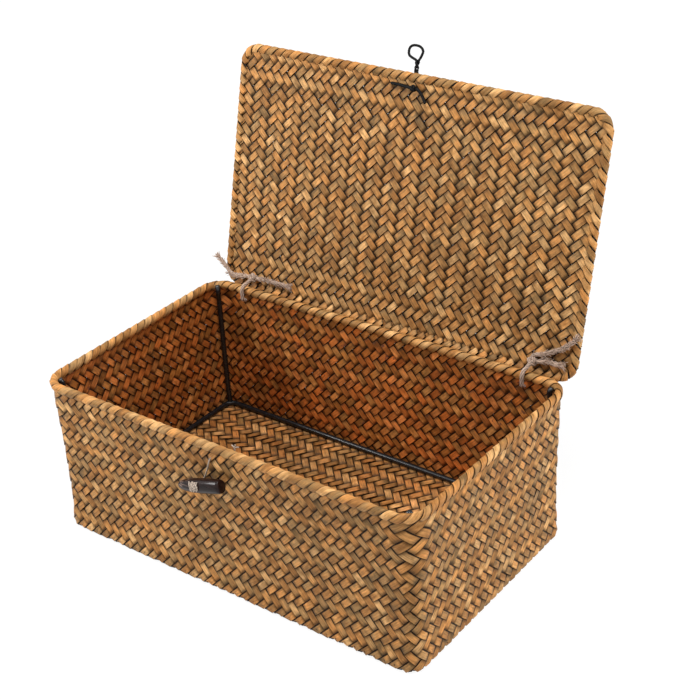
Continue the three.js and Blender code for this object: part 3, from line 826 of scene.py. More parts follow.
def floor_place(x, y):
    """The floor's middle: flat where it rests, rising to the walls."""
    share_x = (abs(x) - REST_LENGTH / 2) / (FLOOR_EDGE.half_length - REST_LENGTH / 2)
    share_y = (abs(y) - REST_DEPTH / 2) / (FLOOR_EDGE.half_depth - REST_DEPTH / 2)
    share = min(max(share_x, share_y, 0.0), 1.0)
    return Vector((x, y, FLOOR_MIDDLE + FLOOR_LIFT * smooth_step(share, 0, 1))), Vector((0, 0, 1))


def lid_place(x, y):
    """The lid's middle, with the way to its inside."""
    return lid_point(x, LID_DEPTH / 2 + y, 0), lid_axes()[2]


class BOX_OT_floor(bpy.types.Operator):
    """Plaits the floor, which sags to a flat patch"""

    bl_idname = "woven_box.floor"
    bl_label = "Plait the floor"

    def execute(self, context):
        def over_at(row, column):
            return over_two(row)

        edge = FLOOR_EDGE.grown(-FLOOR_CUT)
        inside = (FLOOR_PAINTED_SHADE, 0)
        build_flat_strands("floor_strips_rising", 1, edge, floor_place, over_at, "basket", 31, inside)
        build_flat_strands("floor_strips_falling", -1, edge, floor_place, over_at, "basket", 37, inside)
        return {"FINISHED"}


class BOX_OT_lid(bpy.types.Operator):
    """Plaits the lid: columns in the middle, with bands of rows along the front and hinge edges"""

    bl_idname = "woven_box.lid"
    bl_label = "Plait the lid"

    def execute(self, context):
        middle = plait().middle_rows

        def over_at(row, column):
            return over_two(row if abs(row - 0.5) > middle else column)

        edge = LID_OUTLINE.grown(LID_TUCK - BEAD)
        build_flat_strands("lid_strips_rising", 1, edge, lid_place, over_at, "lid", 41, (0, 0), "lid_panel")
        build_flat_strands("lid_strips_falling", -1, edge, lid_place, over_at, "lid", 43, (0, 0))
        return {"FINISHED"}


# Folded borders


FOLD_LEG = 3.2
FOLD_TUCK = 0.9
FOLD_RADIUS = BEAD - STRIP / 2
FOLD_LENGTH = 2 * FOLD_LEG + math.pi * FOLD_RADIUS
FLAP_STEPS = 16
FLAP_THICKNESS = 0.8
FLAP_LAP = 0.6
FLAP_END_LIGHT = 0.35
FLAP_WIDTH_SHARES = (0.95, 1.05)
FLAP_OVERRUN = (0.2, 1.0)
FLAP_LEAN = (0.9, 1.1)
FLAP_TONE_STEP = 10


def fold_section(distance):
    """Out from the fold's middle line and up, along the fold; each leg draws in to the weave at its end."""
    bend = FOLD_LENGTH / 2 - abs(distance - FOLD_LENGTH / 2) - FOLD_LEG
    if bend < 0:
        tuck = FOLD_TUCK * (bend / FOLD_LEG) ** 2
        out, up = FOLD_RADIUS - tuck, bend
        way = Vector((1, 0))
    else:
        turn = bend / FOLD_RADIUS
        way = Vector((math.cos(turn), math.sin(turn)))
        out, up = FOLD_RADIUS * way.x, FOLD_RADIUS * way.y
    if distance > FOLD_LENGTH / 2:
        out, way = -out, Vector((-way.x, way.y))
    return Vector((out, up)), way


def build_border(name, count, middle_line, place, body, node, seed, cover):
    """Strips that lean one way and fold over an edge; cover is their width as a share of their spacing."""
    spacing = middle_line.length() / count
    chance = random.Random(seed)
    piece = Piece(name)
    for number in range(count):
        tone = chance.random()
        width = spacing / DIAGONAL * cover * chance.uniform(*FLAP_WIDTH_SHARES)
        start = -chance.uniform(*FLAP_OVERRUN)
        end = FOLD_LENGTH + chance.uniform(*FLAP_OVERRUN)
        lean = chance.uniform(*FLAP_LEAN)

        def spot(step, aside):
            distance = blend_values(start, end, step / FLAP_STEPS)
            slant = aside / DIAGONAL
            section, outward = fold_section(distance + slant)
            lapped = section + outward * FLAP_LAP * aside / width
            run = number * spacing + lean * (distance - FOLD_LENGTH / 2) - slant
            point = place(run, lapped)
            # Painted shade at the flap's two ends, where they tuck into the weave
            face = (FLAP_END_LIGHT if step in (0, FLAP_STEPS) else 1.0, 0)
            normal = place(run, lapped + outward) - point
            return point, normal, distance + number * FLAP_TONE_STEP, tone, face, face

        lay_strip(piece, FLAP_SECTION, FLAP_STEPS, width, FLAP_THICKNESS, spot)
    piece.finish(body, "folded_strip", node)


def on_rim(run, section):
    point, outward = RIM_MIDDLE.at(run)
    return point + outward * section.x + Vector((0, 0, RIM_BEAD_Z + section.y))


def on_lid_edge(run, section):
    point, outward = LID_EDGE_MIDDLE.at(run)
    flat = point + outward * section.y
    return lid_point(flat.x, LID_DEPTH / 2 - flat.y, section.x)


class BOX_OT_borders(bpy.types.Operator):
    """Folds the strip ends over the rim of the body and over the edge of the lid"""

    bl_idname = "woven_box.borders"
    bl_label = "Fold the borders"

    def execute(self, context):
        wall_strips, border_strips = plait().wall_strips, plait().border_strips
        build_border("rim_folds", wall_strips, RIM_MIDDLE, on_rim, "basket", "body_rim", 51, 0.99)
        build_border("lid_folds", border_strips, LID_EDGE_MIDDLE, on_lid_edge, "lid", "lid_border", 57, 0.9)
        return {"FINISHED"}


# Wires, twine, cord and thread


# Depth of the grooves between plies and swell of a ply, in radii, and the fibres' span once around
PLY_DEPTH = 0.72
PLY_SWELL = 1.02
FIBRE_SPAN = 6


def smooth_route(points, spacing):
    """Points at even steps on a smooth curve through the given ones."""
    route = []
    for number in range(len(points) - 1):
        before = points[max(number - 1, 0)]
        start, end = points[number], points[number + 1]
        after = points[min(number + 2, len(points) - 1)]
        steps = max(2, round((end - start).length / spacing))
        for step in range(steps):
            t = step / steps
            leave = (end - before) / 2
            reach = (after - start) / 2
            route.append(
                start * (2 * t ** 3 - 3 * t ** 2 + 1) + leave * (t ** 3 - 2 * t ** 2 + t)
                + end * (3 * t ** 2 - 2 * t ** 3) + reach * (t ** 3 - t ** 2)
            )
    route.append(points[-1].copy())
    return route


def route_length(route):
    return sum((b - a).length for a, b in zip(route, route[1:]))


def sweep(piece, route, section, sides, tone=0.5, closed=False):
    """A tube along a route; section gives radius and painted light for a direction and a distance along it.
    """
    count = len(route)
    steps = count if closed else count - 1
    frames = []
    side = None
    distance = 0.0
    for number in range(count):
        ahead = route[(number + 1) % count] if closed else route[min(number + 1, count - 1)]
        behind = route[number - 1] if closed or number else route[0]
        heading = (ahead - behind).normalized()
        if side is None:
            side = heading.orthogonal().normalized()
        side = (side - heading * side.dot(heading)).normalized()
        frames.append((route[number], side.copy(), heading.cross(side), distance))
        distance += (route[(number + 1) % count] - route[number]).length
    made = []
    for vertex, along, around in piece.grid(steps, sides):
        centre, across, up, far = frames[round(along * steps) % count]
        angle = around * 2 * math.pi
        radius, light = section(angle, far)
        vertex.co = (centre + (across * math.cos(angle) + up * math.sin(angle)) * radius) * MM
        vertex[piece.place] = (far * MM, around * FIBRE_SPAN, tone)
        vertex[piece.look] = (light, 0, 0)
        made.append(vertex)
    bmesh.ops.remove_doubles(piece.mesh, verts=made, dist=WELD)


def plied(radius, turns_per_mm, plies=2):
    """Section of plies twisted together, with painted shade in the grooves between them."""
    depth = PLY_DEPTH / plies

    def section(angle, far):
        lobe = abs(math.cos((angle - far * turns_per_mm * math.pi * 2) * plies / 2))
        return radius * (PLY_SWELL - depth + depth * lobe), lobe
    return section


def even(radius):
    return lambda angle, far: (radius, 1.0)


def declare(route):
    """Works out a free cord's start and length in metres, but keeps neither."""
    metres = [point * MM for point in route]
    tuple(metres[0])
    route_length(metres)


WIRE_SIDES = 12
RING_STEP = 3.0
UPRIGHT_INSET = WEAVE + GAP + FRAME_WIRE / 2
UPRIGHT_STEPS = 20
UPRIGHT_SPACING = 1.5
UPRIGHT_BEND = 7.0
UPRIGHT_BOW = 2.1
UPRIGHT_TUCK = 1.8
UPRIGHT_TIP_DROP = 2.2
FLOOR_WIRE_Z = FLOOR_TOP + GAP + FRAME_WIRE / 2


def ring_route(outline, z):
    length = outline.length()
    steps = round(length / RING_STEP)
    points = [outline.at(length * step / steps)[0] for step in range(steps)]
    return [point + Vector((0, 0, z)) for point in points]


def upright_route(side_x, side_y):
    """A wire that stands in a corner, bows in front of the rim's fold and tucks its tip under the strips."""
    bottom = FLOOR_WIRE_Z + FRAME_WIRE / 2 + GAP
    bend = FOLD_BOTTOM - UPRIGHT_BEND
    rise = [(blend_values(bottom, bend, step / UPRIGHT_STEPS), 0) for step in range(UPRIGHT_STEPS + 1)]
    rise += [(FOLD_BOTTOM, UPRIGHT_BOW), (RIM_BEAD_Z - WIRE / 2, UPRIGHT_BOW)]
    rise.append((BODY_HEIGHT - UPRIGHT_TIP_DROP, UPRIGHT_BOW - UPRIGHT_TUCK))
    points = []
    for z, bow in rise:
        line = wall_outline(z).grown(-UPRIGHT_INSET - bow)
        reach = line.radius * (1 - math.sqrt(0.5))
        points.append(Vector((side_x * (line.half_length - reach), side_y * (line.half_depth - reach), z)))
    return smooth_route(points, UPRIGHT_SPACING)


def build_wire(name, body, node, route, diameter, closed):
    piece = Piece(name)
    sweep(piece, route, even(diameter / 2), WIRE_SIDES, closed=closed)
    piece.finish(body, "frame_wire", node)


class BOX_OT_wires(bpy.types.Operator):
    """Bends the black frame wires: the floor's ring, an upright in each corner and the wires in the folds"""

    bl_idname = "woven_box.wires"
    bl_label = "Bend the wires"

    def execute(self, context):
        floor_ring = ring_route(wall_outline(FLOOR_WIRE_Z).grown(-UPRIGHT_INSET), FLOOR_WIRE_Z)
        build_wire("floor_wire_ring", "basket", "floor_wire", floor_ring, FRAME_WIRE, True)
        build_wire("rim_wire_ring", "basket", "rim_wire", ring_route(RIM_MIDDLE, RIM_BEAD_Z), WIRE, True)
        lid_ring = [lid_point(p.x, LID_DEPTH / 2 - p.y, 0) for p in ring_route(LID_EDGE_MIDDLE, 0)]
        build_wire("lid_wire_ring", "lid", "lid_wire", lid_ring, WIRE, True)
        for end, side_y in (("front", -1), ("back", 1)):
            for side, side_x in (("left", -1), ("right", 1)):
                corner = f"{end}_{side}"
                route = upright_route(side_x, side_y)
                build_wire(f"upright_{corner}", "basket", f"post_{corner}", route, FRAME_WIRE, False)
        return {"FINISHED"}


# Ties


TIE_KNOT_INSIDE = LID_INSIDE + GAP + TIE_KNOT_RADIUS
TAIL_START = TIE_KNOT_LENGTH / 2 + GAP
TAIL_RISE = TIE_KNOT_RADIUS - TWINE / 2
BORDER_RISE = BEAD - LID_INSIDE
LEFT_EDGE = -LID_LENGTH / 2 - LEFT_TIE_X
RIGHT_EDGE = LID_LENGTH / 2 - RIGHT_TIE_X
TWINE_STEP = 0.8
TWINE_SIDES = 30
TWINE_PLIES = 5
TWINE_TWIST = 0.045
KNOT_TWIST = 0.05
TWINE_PLY = plied(TWINE / 2, TWINE_TWIST, TWINE_PLIES)
KNOT_PLY = plied(TWINE * 0.45, KNOT_TWIST, TWINE_PLIES)

# A wound knot: its steps, its ring and the swing of the ring in radii, and its spread in lengths
KNOT_STEPS = 72
KNOT_RING = 0.62
KNOT_SWING = 0.3
KNOT_SPREAD = 0.36

# Tails, from a knot: across, away from the hinge edge and above the lid
LEFT_LONG_TAIL = [
    (-TAIL_START, 0, TAIL_RISE), (-8, -0.4, TAIL_RISE), (-16, -1.6, BORDER_RISE + 0.2),
    (LEFT_EDGE + FOLD_WIDTH, -0.6, BORDER_RISE + 0.4), (LEFT_EDGE + 4, 3, BORDER_RISE + 0.4),
    (LEFT_EDGE - 3, 8.8, BORDER_RISE + 0.8),
]
LEFT_RIM_TAIL = [(TAIL_START, 0, TAIL_RISE), (8, 0.4, 0.5), (16, 1, 0), (26, 0.8, 0), (35.5, 1, 0)]
RIGHT_LONG_TAIL = [
    (0, TIE_KNOT_RADIUS + GAP, TAIL_RISE), (0, TIE_KNOT_RADIUS + TWINE / 2, TAIL_RISE), (2.5, 5.2, 0.5),
    (7.5, 7, 0), (14.5, 10.6, 0), (RIGHT_EDGE - FOLD_WIDTH - 2, 16.6, BORDER_RISE),
    (RIGHT_EDGE - 6, 21, BORDER_RISE + 0.2), (RIGHT_EDGE - 3, 24.4, BORDER_RISE + 0.2),
]
RIGHT_SHORT_TAIL = [(TAIL_START, 0, TAIL_RISE), (6.5, 1, 0.6), (12, 2.2, 0), (22, 2.4, 0)]

# Each tie: side, place, and its tails, with whether a tail is long enough to hang free and is pressed flat
TIES = [
    ("left", LEFT_TIE_X, [
        ("left_tie_long_tail", LEFT_LONG_TAIL, True, True), ("left_tie_rim_tail", LEFT_RIM_TAIL, True, False),
    ]),
    ("right", RIGHT_TIE_X, [
        ("right_tie_long_tail", RIGHT_LONG_TAIL, True, True),
        ("right_tie_short_tail", RIGHT_SHORT_TAIL, False, False),
    ]),
]

# Loose fibres: how many on a tail, the share of them at its end, and their sizes
FIBRES = 170
END_FIBRES = 0.35
FIBRE_RADIUS = 0.17
FIBRE_RADIUS_SHARES = (0.7, 1.3)
FIBRE_LENGTH = 6.0
FIBRE_LENGTH_SHARES = (0.5, 1.0)
FIBRE_CURL = 0.12
FIBRE_DIP = -0.2
FIBRE_STEPS = (0.0, 0.35, 0.7, 1.0)
FIBRE_SIDES = 4

# How far a fibre at the end and one along the tail spreads, and how far from the middle it starts
END_SPREAD = ((0.1, 0.6), 0.25)
SIDE_SPREAD = ((0.15, 0.5), 0.42)


def tail_route(x, steps, radius, setback):
    points = [lid_point(x + across, setback + away, LID_INSIDE + GAP + radius + above)
              for across, away, above in steps]
    return smooth_route(points, TWINE_STEP)


def tie_loop_route(x):
    """Twine from the knot over the rim, in through the wall, round the lid's border and through the lid."""
    around = BEAD + GAP + TWINE / 2
    rim_y = BODY_DEPTH / 2 - BEAD
    wall = wall_outline(TIE_HOLE_Z).half_depth

    def over_rim(degrees):
        angle = math.radians(degrees)
        return Vector((x, rim_y + around * math.cos(angle), RIM_BEAD_Z + around * math.sin(angle)))

    def under_lid(degrees):
        angle = math.radians(degrees)
        return lid_point(x, BEAD - around * math.cos(angle), -around * math.sin(angle))

    knot = lid_point(x, TIE_SETBACK, TIE_KNOT_INSIDE)
    top = over_rim(75)
    start = knot.lerp(top, (TIE_KNOT_RADIUS + GAP) / (top - knot).length)
    return smooth_route([
        start, top, over_rim(105), over_rim(140), over_rim(175),
        Vector((x, rim_y - around, FOLD_BOTTOM + TWINE / 2)),
        Vector((x, rim_y - around + GAP, TIE_HOLE_Z + 0.75 * TWINE)),
        Vector((x, wall - WEAVE, TIE_HOLE_Z)), Vector((x, wall, TIE_HOLE_Z)),
        Vector((x, wall + TWINE, TIE_HOLE_Z)),
        under_lid(40), under_lid(65), under_lid(90),
        lid_point(x, FOLD_WIDTH, -around), lid_point(x, TIE_SETBACK - TWINE / 4, -BEAD),
        lid_point(x, TIE_SETBACK, -LID_INSIDE), lid_point(x, TIE_SETBACK, LID_INSIDE),
    ], TWINE_STEP)


def knot_route(centre, radius, length):
    """A cord wound round itself: a closed trefoil squeezed into a barrel that lies across the lid."""
    axis_x, axis_y, axis_z = lid_axes()
    points = []
    for step in range(KNOT_STEPS):
        angle = step / KNOT_STEPS * 2 * math.pi
        ring = KNOT_RING + KNOT_SWING * math.cos(3 * angle)
        across = math.sin(3 * angle) * KNOT_SPREAD * length
        around = axis_y * math.cos(2 * angle) + axis_z * math.sin(2 * angle)
        points.append(centre + axis_x * across + around * ring * radius)
    return points


def random_push(chance):
    return Vector([chance.uniform(-1, 1) for axis in range(3)])


def fray(piece, route, chance):
    """Loose fibres: a brush at the end of a tail and a fuzz along it."""
    inside = lid_axes()[2]
    for number in range(FIBRES):
        at_end = number < FIBRES * END_FIBRES
        place = len(route) - 2 if at_end else chance.randrange(1, len(route) - 2)
        heading = (route[place + 1] - route[place - 1]).normalized()
        push = random_push(chance)
        push = (push - heading * push.dot(heading)).normalized()
        if push.dot(inside) < FIBRE_DIP:
            push -= inside * 2 * push.dot(inside)
        far = FIBRE_LENGTH * chance.uniform(*FIBRE_LENGTH_SHARES)
        spread, depth = END_SPREAD if at_end else SIDE_SPREAD
        out = chance.uniform(*spread)
        root = route[place] + push * TWINE * depth
        curl = random_push(chance) * FIBRE_CURL
        hair = [root + (heading + push * out * t + curl * t) * far * t for t in FIBRE_STEPS]
        radius = FIBRE_RADIUS * chance.uniform(*FIBRE_RADIUS_SHARES)
        sweep(piece, hair, even(radius), FIBRE_SIDES, chance.random())


class BOX_OT_ties(bpy.types.Operator):
    """Ties the lid on with two loops of twine, each with a knot, frayed tails and loose fibres"""

    bl_idname = "woven_box.ties"
    bl_label = "Tie the lid on"

    def execute(self, context):
        chance = random.Random(71)
        for side, x, tails in TIES:
            self.loop(side, x)
            self.knot(side, x)
            for node, steps, free, pressed in tails:
                self.tail(node, tail_route(x, steps, TWINE / 2, TIE_SETBACK), free, pressed, chance)
        return {"FINISHED"}

    def loop(self, side, x):
        piece = Piece(f"{side}_tie_twine")
        sweep(piece, tie_loop_route(x), TWINE_PLY, TWINE_SIDES)
        twine = piece.finish(None, "twine", f"{side}_tie_loop")
        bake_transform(twine)

    def knot(self, side, x):
        piece = Piece(f"{side}_tie_wound_knot")
        route = knot_route(lid_point(x, TIE_SETBACK, TIE_KNOT_INSIDE), TIE_KNOT_RADIUS, TIE_KNOT_LENGTH)
        sweep(piece, route, KNOT_PLY, TWINE_SIDES, closed=True)
        piece.finish("lid", "twine", f"{side}_tie_knot")

    def tail(self, node, route, free, pressed, chance):
        piece = Piece(f"{node}_twine")
        sweep(piece, route, TWINE_PLY, TWINE_SIDES)
        twine = piece.finish("lid", "twine", node)
        piece = Piece(f"{node}_fibres")
        fray(piece, route, chance)
        fibres = piece.finish("lid", "twine")
        if pressed:
            for part in (twine, fibres):
                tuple(lid_axes()[2])
                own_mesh(part)
        if free:
            declare(route)


# Closing loop


TWIST_RADIUS = CORD / 2 + GAP / 2
LOOP_START = LID_DEPTH + 2 * GAP + TWIST_RADIUS + CORD / 2
LOOP_LEVEL = -(BEAD + GAP + CORD / 2)
LOOP_DROP = [(-0.42, 0.25), (-0.5, 0.62), (-0.36, 0.9), (-0.06, 1), (0.3, 0.94), (0.5, 0.68), (0.4, 0.28)]
CORD_TAIL_START = CORD_KNOT_LENGTH / 2 + GAP
CORD_TAIL_RISE = CORD_KNOT_RADIUS - CORD_TAIL / 2
LEFT_CORD_TAIL = [(-CORD_TAIL_START, 0, CORD_TAIL_RISE), (-6, 0.2, 0.4), (-12, 0.6, 0), (-20, 0.8, 0)]
RIGHT_CORD_TAIL = [
    (CORD_TAIL_START, 0, CORD_TAIL_RISE), (CORD_TAIL_START + CORD_TAIL / 2, -0.1, CORD_TAIL_RISE),
    (6.2, -2.2, 0.3), (8.8, -5.4, 0), (11.6, -9.5, 0),
]
CORD_STEP = 0.7
CORD_SIDES = 18
CORD_PLY = plied(CORD * 0.61, 0.25, 3)
CORD_TAIL_PLY = plied(CORD_TAIL * 0.55, 0.2, 3)


def loop_route():
    """Two strands twisted half a turn at the neck, then spread into a drop."""
    neck = [(TWIST_RADIUS, LOOP_START, 0)]
    for degrees in (0, 45, 90, 135, 180):
        angle = math.radians(degrees)
        rise = LOOP_START + CORD / 2 + (LOOP_NECK - CORD / 2) * degrees / 180
        neck.append((TWIST_RADIUS * math.cos(angle), rise, TWIST_RADIUS * math.sin(angle)))
    rising = [lid_point(LOOP_NECK_X + across, rise, LOOP_LEVEL + depth) for across, rise, depth in neck]
    falling = [lid_point(LOOP_NECK_X - across, rise, LOOP_LEVEL - depth) for across, rise, depth in neck]
    height = LOOP_HEIGHT - LOOP_NECK
    middle = LOOP_NECK_X + LOOP_LEAN
    drop = [
        lid_point(middle + across * LOOP_WIDTH, LOOP_START + LOOP_NECK + up * height, LOOP_LEVEL)
        for across, up in LOOP_DROP
    ]
    return smooth_route(rising + drop + falling[::-1], CORD_STEP)


def loop_root_routes():
    """The two strands from the knot through the lid and over its border to the neck."""
    hole = LID_DEPTH - LOOP_SETBACK
    middle = [
        (LOOP_HOLE_X, hole, LID_INSIDE), (LOOP_HOLE_X, hole, -LID_INSIDE),
        (LOOP_HOLE_X, hole + CORD / 2, LOOP_LEVEL + GAP), (LOOP_HOLE_X, hole + 2.5 * CORD, LOOP_LEVEL),
        ((LOOP_HOLE_X + LOOP_NECK_X) / 2, LID_DEPTH - 1.5 * BEAD, LOOP_LEVEL),
        (LOOP_NECK_X, LID_DEPTH - GAP, LOOP_LEVEL), (LOOP_NECK_X, LOOP_START - GAP, LOOP_LEVEL),
    ]
    routes = []
    for side in (-1, 1):
        points = [lid_point(x + side * CORD / 2, setback, inside) for x, setback, inside in middle]
        routes.append(smooth_route(points, CORD_STEP))
    return routes


class BOX_OT_closing_loop(bpy.types.Operator):
    """Ties the black closing loop through the front of the lid"""

    bl_idname = "woven_box.closing_loop"
    bl_label = "Tie the closing loop"

    def execute(self, context):
        route = loop_route()
        piece = Piece("closing_loop_cord")
        sweep(piece, route, CORD_PLY, CORD_SIDES)
        loop = piece.finish("closing_loop", "black_cord", "closing_loop")
        declare(route)
        piece = Piece("closing_loop_root")
        for strand in loop_root_routes():
            sweep(piece, strand, CORD_PLY, CORD_SIDES)
        piece.finish("lid", "black_cord", "loop_root")
        setback = LID_DEPTH - LOOP_SETBACK
        centre = lid_point(LOOP_HOLE_X, setback, LID_INSIDE + GAP + CORD_KNOT_RADIUS)
        knot = knot_route(centre, CORD_KNOT_RADIUS, CORD_KNOT_LENGTH)
        piece = Piece("closing_loop_knot")
        sweep(piece, knot, CORD_PLY, CORD_SIDES, closed=True)
        piece.finish("lid", "black_cord", "loop_knot")
        for node, steps in (("loop_tail_left", LEFT_CORD_TAIL), ("loop_tail_right", RIGHT_CORD_TAIL)):
            piece = Piece(f"{node}_cord")
            sweep(piece, tail_route(LOOP_HOLE_X, steps, CORD_TAIL / 2, setback), CORD_TAIL_PLY, CORD_SIDES)
            piece.finish("lid", "black_cord", node)
        return {"FINISHED"}


# Toggle


WALL_AT_THREAD = wall_outline(THREAD_EXIT_Z).half_depth
THREAD_Y = -(WALL_AT_THREAD + GAP + THREAD / 2)
THREAD_STEP = 0.6
THREAD_SIDES = 12
THREAD_TWIST = 0.35
THREAD_PLY = plied(THREAD / 2, THREAD_TWIST)
THREAD_END_PLY = plied(THREAD * 0.4, THREAD_TWIST)
THREAD_ENDS = ((-3.0, 1.6), (0.4, 3.0), (3.2, 2.0))
TOGGLE_BACK = -(THREAD / 2 + GAP)
TOGGLE_HOLE_X = TOGGLE_MIDDLE_X + TOGGLE_HOLE * math.cos(math.radians(TOGGLE_TILT))
TOGGLE_CENTRE = Vector((
    TOGGLE_HOLE_X, THREAD_Y + TOGGLE_BACK - TOGGLE_THICKNESS / 2, THREAD_EXIT_Z - THREAD_DROP,
))
TOGGLE_LEAN = Matrix.Rotation(math.radians(-TOGGLE_TILT), 3, "Y")
TOGGLE_PROFILE = [
    (0, -1), (0.34, -0.99), (0.5, -0.94), (0.68, -0.8), (0.84, -0.58), (0.95, -0.3),
    (1, 0.05), (0.98, 0.6), (0.94, 0.9), (0.88, 0.98), (0.8, 1), (0, 1),
]
TOGGLE_SIDES = 40
STITCH_THREAD = 1.15
STITCH_GAP = 0.1
STITCH_TURNS = 7
STITCH_TWIST = 0.3
STITCH_ANGLES = (-14, 2, 18, 34, 48)
STITCH_STRAY_ANGLE = 7
STITCH_STRAY = 0.7


class BOX_OT_toggle(bpy.types.Operator):
    """Turns the toggle and hangs it on its thread"""

    bl_idname = "woven_box.toggle"
    bl_label = "Hang the toggle"

    def execute(self, context):
        self.peg()
        self.hang()
        self.anchor()
        self.stitch()
        return {"FINISHED"}

    def peg(self):
        piece = Piece("polished_toggle")
        bm = piece.mesh
        profile = [bm.verts.new((along * TOGGLE_LENGTH / 2 * MM, 0, out * TOGGLE_HEIGHT / 2 * MM))
                   for out, along in TOGGLE_PROFILE]
        edges = [bm.edges.new(pair) for pair in zip(profile, profile[1:])]
        bmesh.ops.spin(
            bm, geom=profile + edges, cent=(0, 0, 0), axis=(1, 0, 0), dvec=(0, 0, 0), angle=2 * math.pi,
            steps=TOGGLE_SIDES, use_merge=True, use_normal_flip=False, use_duplicate=False,
        )
        bmesh.ops.remove_doubles(bm, verts=bm.verts, dist=1e-6)
        bmesh.ops.scale(bm, vec=(1, TOGGLE_THICKNESS / TOGGLE_HEIGHT, 1), verts=bm.verts)
        bmesh.ops.translate(bm, vec=(-TOGGLE_HOLE * MM, 0, 0), verts=bm.verts)
        bmesh.ops.rotate(bm, cent=(0, 0, 0), matrix=TOGGLE_LEAN, verts=bm.verts)
        bmesh.ops.translate(bm, vec=TOGGLE_CENTRE * MM, verts=bm.verts)
        piece.finish("toggle", "toggle_wood", "toggle_peg")

    def hang(self):
        """Thread from the wall down to the peg and through its hole."""
        away = TOGGLE_HOLE_X - THREAD_EXIT_X
        steps = [
            (0, 0, 0), (away * 0.35, 0, -THREAD_DROP * 0.35), (away * 0.8, 0, -THREAD_DROP * 0.75),
            (away, 0, -THREAD_DROP + 2.5 * THREAD), (away, TOGGLE_BACK / 2, -THREAD_DROP + THREAD),
            (away, TOGGLE_BACK - THREAD, -THREAD_DROP + 0.1 * THREAD),
            (away, TOGGLE_BACK - TOGGLE_THICKNESS / 2, -THREAD_DROP),
            (away, TOGGLE_BACK - TOGGLE_THICKNESS, -THREAD_DROP),
        ]
        exit_point = Vector((THREAD_EXIT_X, THREAD_Y, THREAD_EXIT_Z))
        route = smooth_route([exit_point + Vector(step) for step in steps], THREAD_STEP)
        piece = Piece("toggle_hanging_thread")
        sweep(piece, route, THREAD_PLY, THREAD_SIDES)
        thread = piece.finish("toggle_thread", "pale_thread", "toggle_thread")
        declare(route)

    def anchor(self):
        """The thread's end inside the wall, which comes up at the rim in three loose ends."""
        outer = -WALL_AT_THREAD
        inner = outer + WEAVE + GAP + THREAD / 2
        steps = [
            (0, outer, 0), (0, outer + WEAVE, 0), (THREAD / 2, inner + THREAD / 2, 0),
            (3 * THREAD, inner + THREAD, 0), (12, inner + THREAD, 0.6),
            (15.5, inner + FOLD / 2, THREAD_EXIT_DROP),
            (17, inner + FOLD / 2, THREAD_EXIT_DROP + FOLD_WIDTH - 2 * THREAD),
        ]
        points = [Vector((THREAD_EXIT_X + x, y, THREAD_EXIT_Z + z)) for x, y, z in steps]
        piece = Piece("thread_end_inside")
        sweep(piece, smooth_route(points, THREAD_STEP), THREAD_PLY, THREAD_SIDES)
        tip = points[-1]
        for aside, rise in THREAD_ENDS:
            bent = tip + Vector((aside * 0.4, 0.2, rise * 0.7))
            end = smooth_route([tip, bent, tip + Vector((aside, 0.6, rise))], THREAD_STEP)
            sweep(piece, end, THREAD_END_PLY, THREAD_SIDES)
        piece.finish("basket", "pale_thread", "thread_anchor")

    def stitch(self):
        """Turns of thread from the hole over the peg's top, each a little out of line."""
        chance = random.Random(83)
        over = STITCH_THREAD / 2 + STITCH_GAP
        ply = plied(STITCH_THREAD * 0.5, STITCH_TWIST)
        piece = Piece("toggle_thread_stitch")
        for number in range(STITCH_TURNS):
            aside = (number - (STITCH_TURNS - 1) / 2) * STITCH_THREAD
            points = []
            for degrees in STITCH_ANGLES:
                angle = math.radians(degrees + chance.uniform(-STITCH_STRAY_ANGLE, STITCH_STRAY_ANGLE))
                on_peg = Vector((
                    aside + chance.uniform(-STITCH_STRAY, STITCH_STRAY),
                    -math.cos(angle) * (TOGGLE_THICKNESS / 2 + over),
                    math.sin(angle) * (TOGGLE_HEIGHT / 2 + over),
                ))
                points.append(TOGGLE_CENTRE + TOGGLE_LEAN @ on_peg)
            sweep(piece, smooth_route(points, THREAD_STEP), ply, THREAD_SIDES, number / STITCH_TURNS)
        piece.finish("toggle", "pale_thread", "toggle_stitch")


# Stage


CAMERA_PLACE = Vector((602.68, -710.74, 673.15))
CAMERA_AZIMUTH = 37.999
CAMERA_ELEVATION = 29.165
CAMERA_ROLL = -3.245
CAMERA_LENS = 76.187
SENSOR = 36.0
LAMP_AIM = Vector((0, 0, 0.1))
FLOOR_REACH = 6.0
FLOOR_GLOW_SHARE = 0.88
FLOOR_WHITENING = (0.35, 1.2, 1.06, 1.15)
WHITE = (1, 1, 1, 1)


def seen_rays(graph):
    """1 for rays from the camera and for rays that a glossy or clear surface sends on."""
    rays = graph.node("ShaderNodeLightPath").outputs
    shiny = graph.math("MAXIMUM", rays["Is Glossy Ray"], rays["Is Transmission Ray"])
    return graph.math("MAXIMUM", rays["Is Camera Ray"], shiny)


